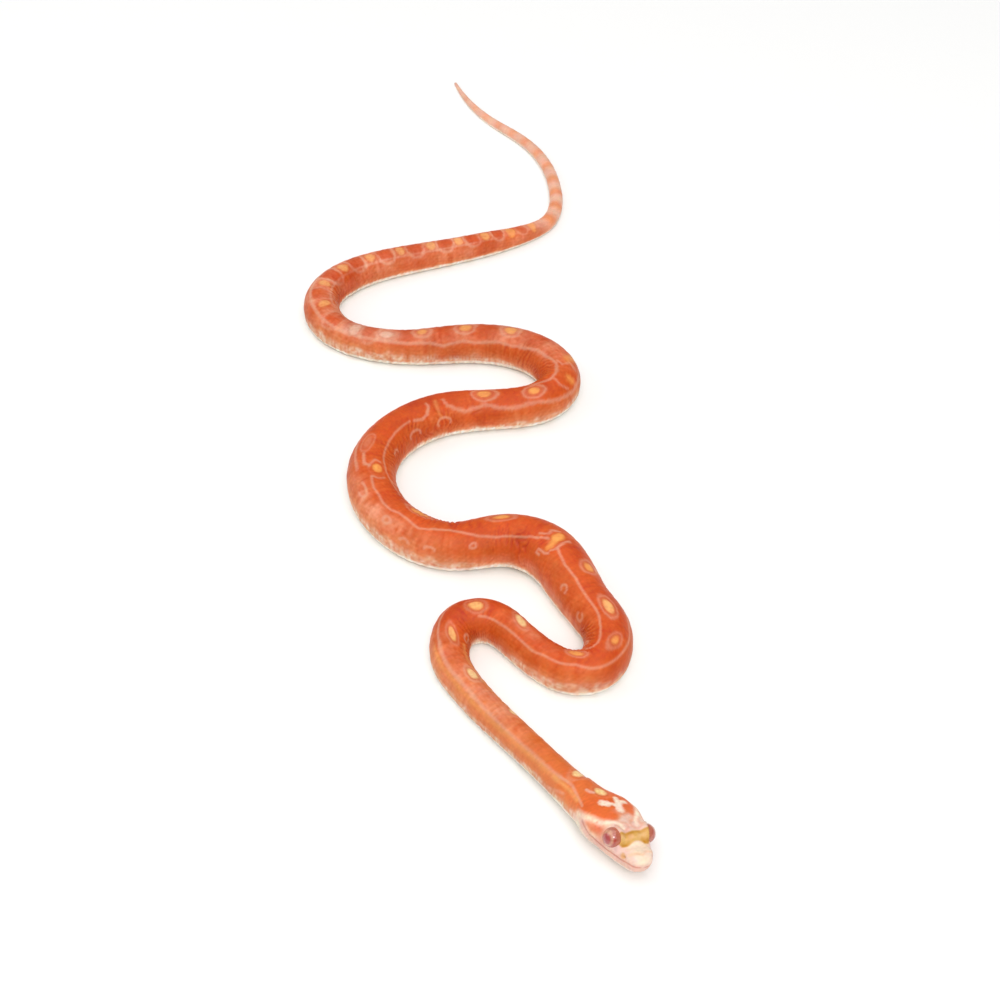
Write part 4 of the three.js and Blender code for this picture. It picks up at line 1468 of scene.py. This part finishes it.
@dataclass
class Skin:
    """The one skin of the whole animal."""

    shape: SkinShape
    markings: Markings
    finish: SkinFinish = field(default_factory=SkinFinish)
    map_rows: int = 10

    def build(self) -> bpy.types.Object:
        """Builds the skin's mesh, closed at snout and tail tip, with its colours and its map.

        Returns:
            The object.
        """
        places, s, angle, folds = self.shape.surface()
        colours = self.markings.colours(places, s, angle, folds)
        rings, columns = s.shape
        points = np.concatenate([places.reshape(-1, 3), places[:1].mean(axis=1), places[-1:].mean(axis=1)])
        ends = [colours[:1].mean(axis=1), colours[-1:].mean(axis=1)]
        painted = np.concatenate([colours.reshape(-1, 3), *ends])
        made = mesh_object("snake_skin", points * MM, closed_tube(rings, columns), self.finish.make())
        add_tint(made, painted)
        self.unwrap(made, rings, columns)
        return made

    def unwrap(self, made: bpy.types.Object, rings: int, columns: int) -> None:
        """Adds a map that lays the skin out in rows, each a stretch of the body.

        Args:
            made: The skin's object.
            rings: How many rings of points it has.
            columns: How many points a ring has.
        """
        layer = made.data.uv_layers.new(name="OFBake")
        corner_points = np.zeros(len(made.data.loops), dtype=np.int64)
        made.data.loops.foreach_get("vertex_index", corner_points)
        share = np.linspace(0, self.map_rows, rings, endpoint=False)
        ring = np.minimum(corner_points // columns, rings - 1)
        column = (corner_points % columns) / columns
        corners = [len(face.vertices) for face in made.data.polygons]
        face_of = np.repeat(np.arange(len(corners)), corners)
        lowest_ring = np.full(len(corners), rings)
        np.minimum.at(lowest_ring, face_of, ring)
        lowest_column = np.full(len(corners), 2.0)
        np.minimum.at(lowest_column, face_of, column)
        wraps = (lowest_column[face_of] < 0.25) & (column > 0.75)
        row = np.floor(share[lowest_ring[face_of]])
        u = np.clip(share[ring] - row, 0.0, 1.08)
        v = np.where(wraps, column - 1.0, column) + 1.0 / columns
        uv = np.stack([0.01 + u * 0.9, (row + 0.06 + v * 0.86) / self.map_rows], axis=-1)
        layer.data.foreach_set("uv", uv.astype(np.float32).ravel())

    def dress(self, made: bpy.types.Object) -> None:
        """Ties the skin to the frame: it rides on the body and stands for all the flesh.

        Args:
            made: The skin's object.
        """
        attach(made, BODY)
        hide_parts(*FLESH_NODES)


@dataclass
class Eye:
    """One eye: a clear-fronted ball with pupil, iris and the red ring round it."""

    plan: BodyPlan
    eye: EyePlan
    side: Side
    finish: bpy.types.Material
    rows: int = 48

    def build(self) -> bpy.types.Object:
        """Builds the ball and paints it by the angle from where it looks.

        Returns:
            The object.
        """
        centre = self.plan.on_head(self.eye.back, self.side.value * self.eye.out, self.eye.up)
        look = self.eye.gaze(self.plan, self.side)
        across = np.cross(look, [0.0, 0.0, 1.0])
        across /= np.linalg.norm(across)
        over = np.cross(across, look)
        turns = np.arange(2 * self.rows) / (2 * self.rows) * 2 * np.pi
        tilts = np.arange(1, self.rows) / self.rows * np.pi
        tilt, turn = np.meshgrid(tilts, turns, indexing="ij")
        rim = np.cos(turn)[..., None] * across + np.sin(turn)[..., None] * over
        unit = np.cos(tilt)[..., None] * look + np.sin(tilt)[..., None] * rim
        points = np.concatenate([unit.reshape(-1, 3), [look], [-look]])
        angle = np.degrees(np.concatenate([tilt.ravel(), [0.0], [math.pi]]))
        around = np.concatenate([turn.ravel(), [0.0, 0.0]])
        name = f"eyeball_{self.side.name.lower()}"
        ball = centre + points * (self.eye.radius - self.eye.inset)
        made = mesh_object(name, ball * MM, closed_tube(self.rows - 1, 2 * self.rows), self.finish)
        add_tint(made, self.colours(points, angle, around))
        return made

    def colours(self, unit: Array, angle: Array, around: Array) -> Array:
        """Gives the eye's colours by the angle from where it looks.

        Args:
            unit: Unit directions from the ball's middle.
            angle: Their angles from where the eye looks, in degrees.
            around: Their angles round that direction, in radians.

        Returns:
            Linear colours, one row for each direction.
        """
        ahead = -unit @ self.plan.head_axes()[1]
        colour = np.empty((len(angle), 3))
        colour[:] = srgb(186, 102, 76)
        paint(colour, srgb(210, 152, 120), smoothstep(66, 50, angle))
        paint(colour, srgb(174, 58, 42), bump(angle, 55, 11) * smoothstep(-0.15, 0.55, ahead))
        paint(colour, srgb(190, 120, 106), 0.7 * bump(angle, 62, 9) * smoothstep(0.2, -0.4, ahead))
        ray = 1.0 + 0.05 * np.sin(around * 17 + 3 * np.sin(around * 3)) + 0.05 * Noise(41, 0.25).at(unit)
        colour *= ray[:, None]
        paint(colour, srgb(176, 96, 84), 0.7 * bump(angle, 33, 4))
        paint(colour, srgb(178, 74, 72), smoothstep(33, 27, angle))
        paint(colour, srgb(160, 50, 54), smoothstep(24, 6, angle) * 0.7)
        return np.clip(colour, 0, 1)

    def dress(self, made: bpy.types.Object) -> None:
        """Ties the eye to the frame: it rides on the body and stands for its solid ball.

        Args:
            made: The eye's object.
        """
        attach(made, BODY)
        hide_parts(f"eye_{self.side.name.lower()}")


@dataclass
class Studio:
    """The floor, the soft lights and the camera.

    Attributes:
        floor_half: Half the floor's width in metres.
        camera_height: The camera's height in metres.
        camera_down_degrees: How far below the level it looks.
        camera_foot: The point of the floor below it, in metres.
        lens: Its focal length in millimetres.
        sensor: The width of its sensor in millimetres.
    """

    floor_half: float = 6.0
    camera_height: float = 0.341
    camera_down_degrees: float = 43.0
    camera_foot: Sequence[float] = (0.01261, -0.41444)
    lens: float = 64.8
    sensor: float = 36.0

    def floor(self) -> None:
        """Lays the floor."""
        h = self.floor_half
        points = np.array([[-h, -h, 0], [h, -h, 0], [h, h, 0], [-h, h, 0]], float)
        made = mesh_object("studio_floor", points, np.array([[0, 1, 2, 3]]), FloorFinish().make())
        made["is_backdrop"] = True

    def light(
        self, name: str, place: Sequence[float], size: float, power: float, colour: Sequence[float]
    ) -> None:
        """Hangs a soft square light that faces the middle of the animal.

        Args:
            name: Its name.
            place: Where it hangs, in metres.
            size: Its width in metres.
            power: Its power in watts.
            colour: Its linear red, green and blue.
        """
        lamp = bpy.data.lights.new(name, "AREA")
        lamp.shape = "SQUARE"
        lamp.size = size
        lamp.energy = power
        lamp.color = colour
        made = bpy.data.objects.new(name, lamp)
        made.location = place
        made.rotation_euler = (-Vector(place)).to_track_quat("-Z", "Y").to_euler()
        bpy.context.scene.collection.objects.link(made)

    def lights(self) -> None:
        """Hangs wide lights in front and overhead, a small one for the eyes and a weak one on the left."""
        self.light("front_softbox", (0.15, -0.85, 1.15), 1.3, 8.5, (1.0, 0.995, 0.985))
        self.light("eye_light", (0.16, -0.95, 1.12), 0.34, 3.2, (1.0, 1.0, 0.99))
        self.light("overhead", (0.0, 0.25, 1.4), 1.6, 9.0, (1.0, 1.0, 1.0))
        self.light("left_fill", (-1.1, 0.1, 0.9), 0.8, 3.0, (1.0, 0.99, 0.97))
        world = bpy.data.worlds.new("studio_air")
        world.use_nodes = True
        back = world.node_tree.nodes["Background"]
        back.inputs["Color"].default_value = (1.0, 1.0, 1.0, 1.0)
        back.inputs["Strength"].default_value = 0.35
        bpy.context.scene.world = world
        bpy.context.scene.view_settings.view_transform = "Standard"

    def camera(self) -> None:
        """Sets the camera where the photograph seems to be taken from; its lens and pitch are a guess."""
        lens = bpy.data.cameras.new("camera")
        lens.lens = self.lens
        lens.sensor_width = self.sensor
        lens.clip_start = 0.01
        made = bpy.data.objects.new("camera", lens)
        made.location = (*self.camera_foot, self.camera_height)
        made.rotation_euler = (math.radians(90.0 - self.camera_down_degrees), 0.0, 0.0)
        bpy.context.scene.collection.objects.link(made)
        bpy.context.scene.camera = made


def save_sizes(after: Rows) -> None:
    """Takes the box of the dressed animal but writes nothing: it only defines a helper that turns a box into
    plain lists of numbers.

    Args:
        after: Those of the dressed animal; not used.
    """

    def plain(box: Rows) -> list[list[float]]:
        """Turns a box into plain lists of numbers."""
        return [[float(v) for v in corner] for corner in box]


def main() -> None:
    """Builds the camera and studio, then the skin and the eyes."""
    logging.basicConfig(level=logging.INFO)
    studio = Studio()
    studio.camera()
    studio.floor()
    studio.lights()
    LOG.info("studio ready")
    plan, eye_plan = BodyPlan(), EyePlan()
    skin = Skin(SkinShape(plan, eye_plan), Markings(plan))
    made = skin.build()
    skin.dress(made)
    LOG.info("%s: %d points", made.name, len(made.data.vertices))
    wet = EyeFinish().make()
    for side in Side:
        eye = Eye(plan, eye_plan, side, wet)
        ball = eye.build()
        eye.dress(ball)
        LOG.info("%s: %d points", ball.name, len(ball.data.vertices))
    save_sizes(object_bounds())


if __name__ == "__main__":
    main()
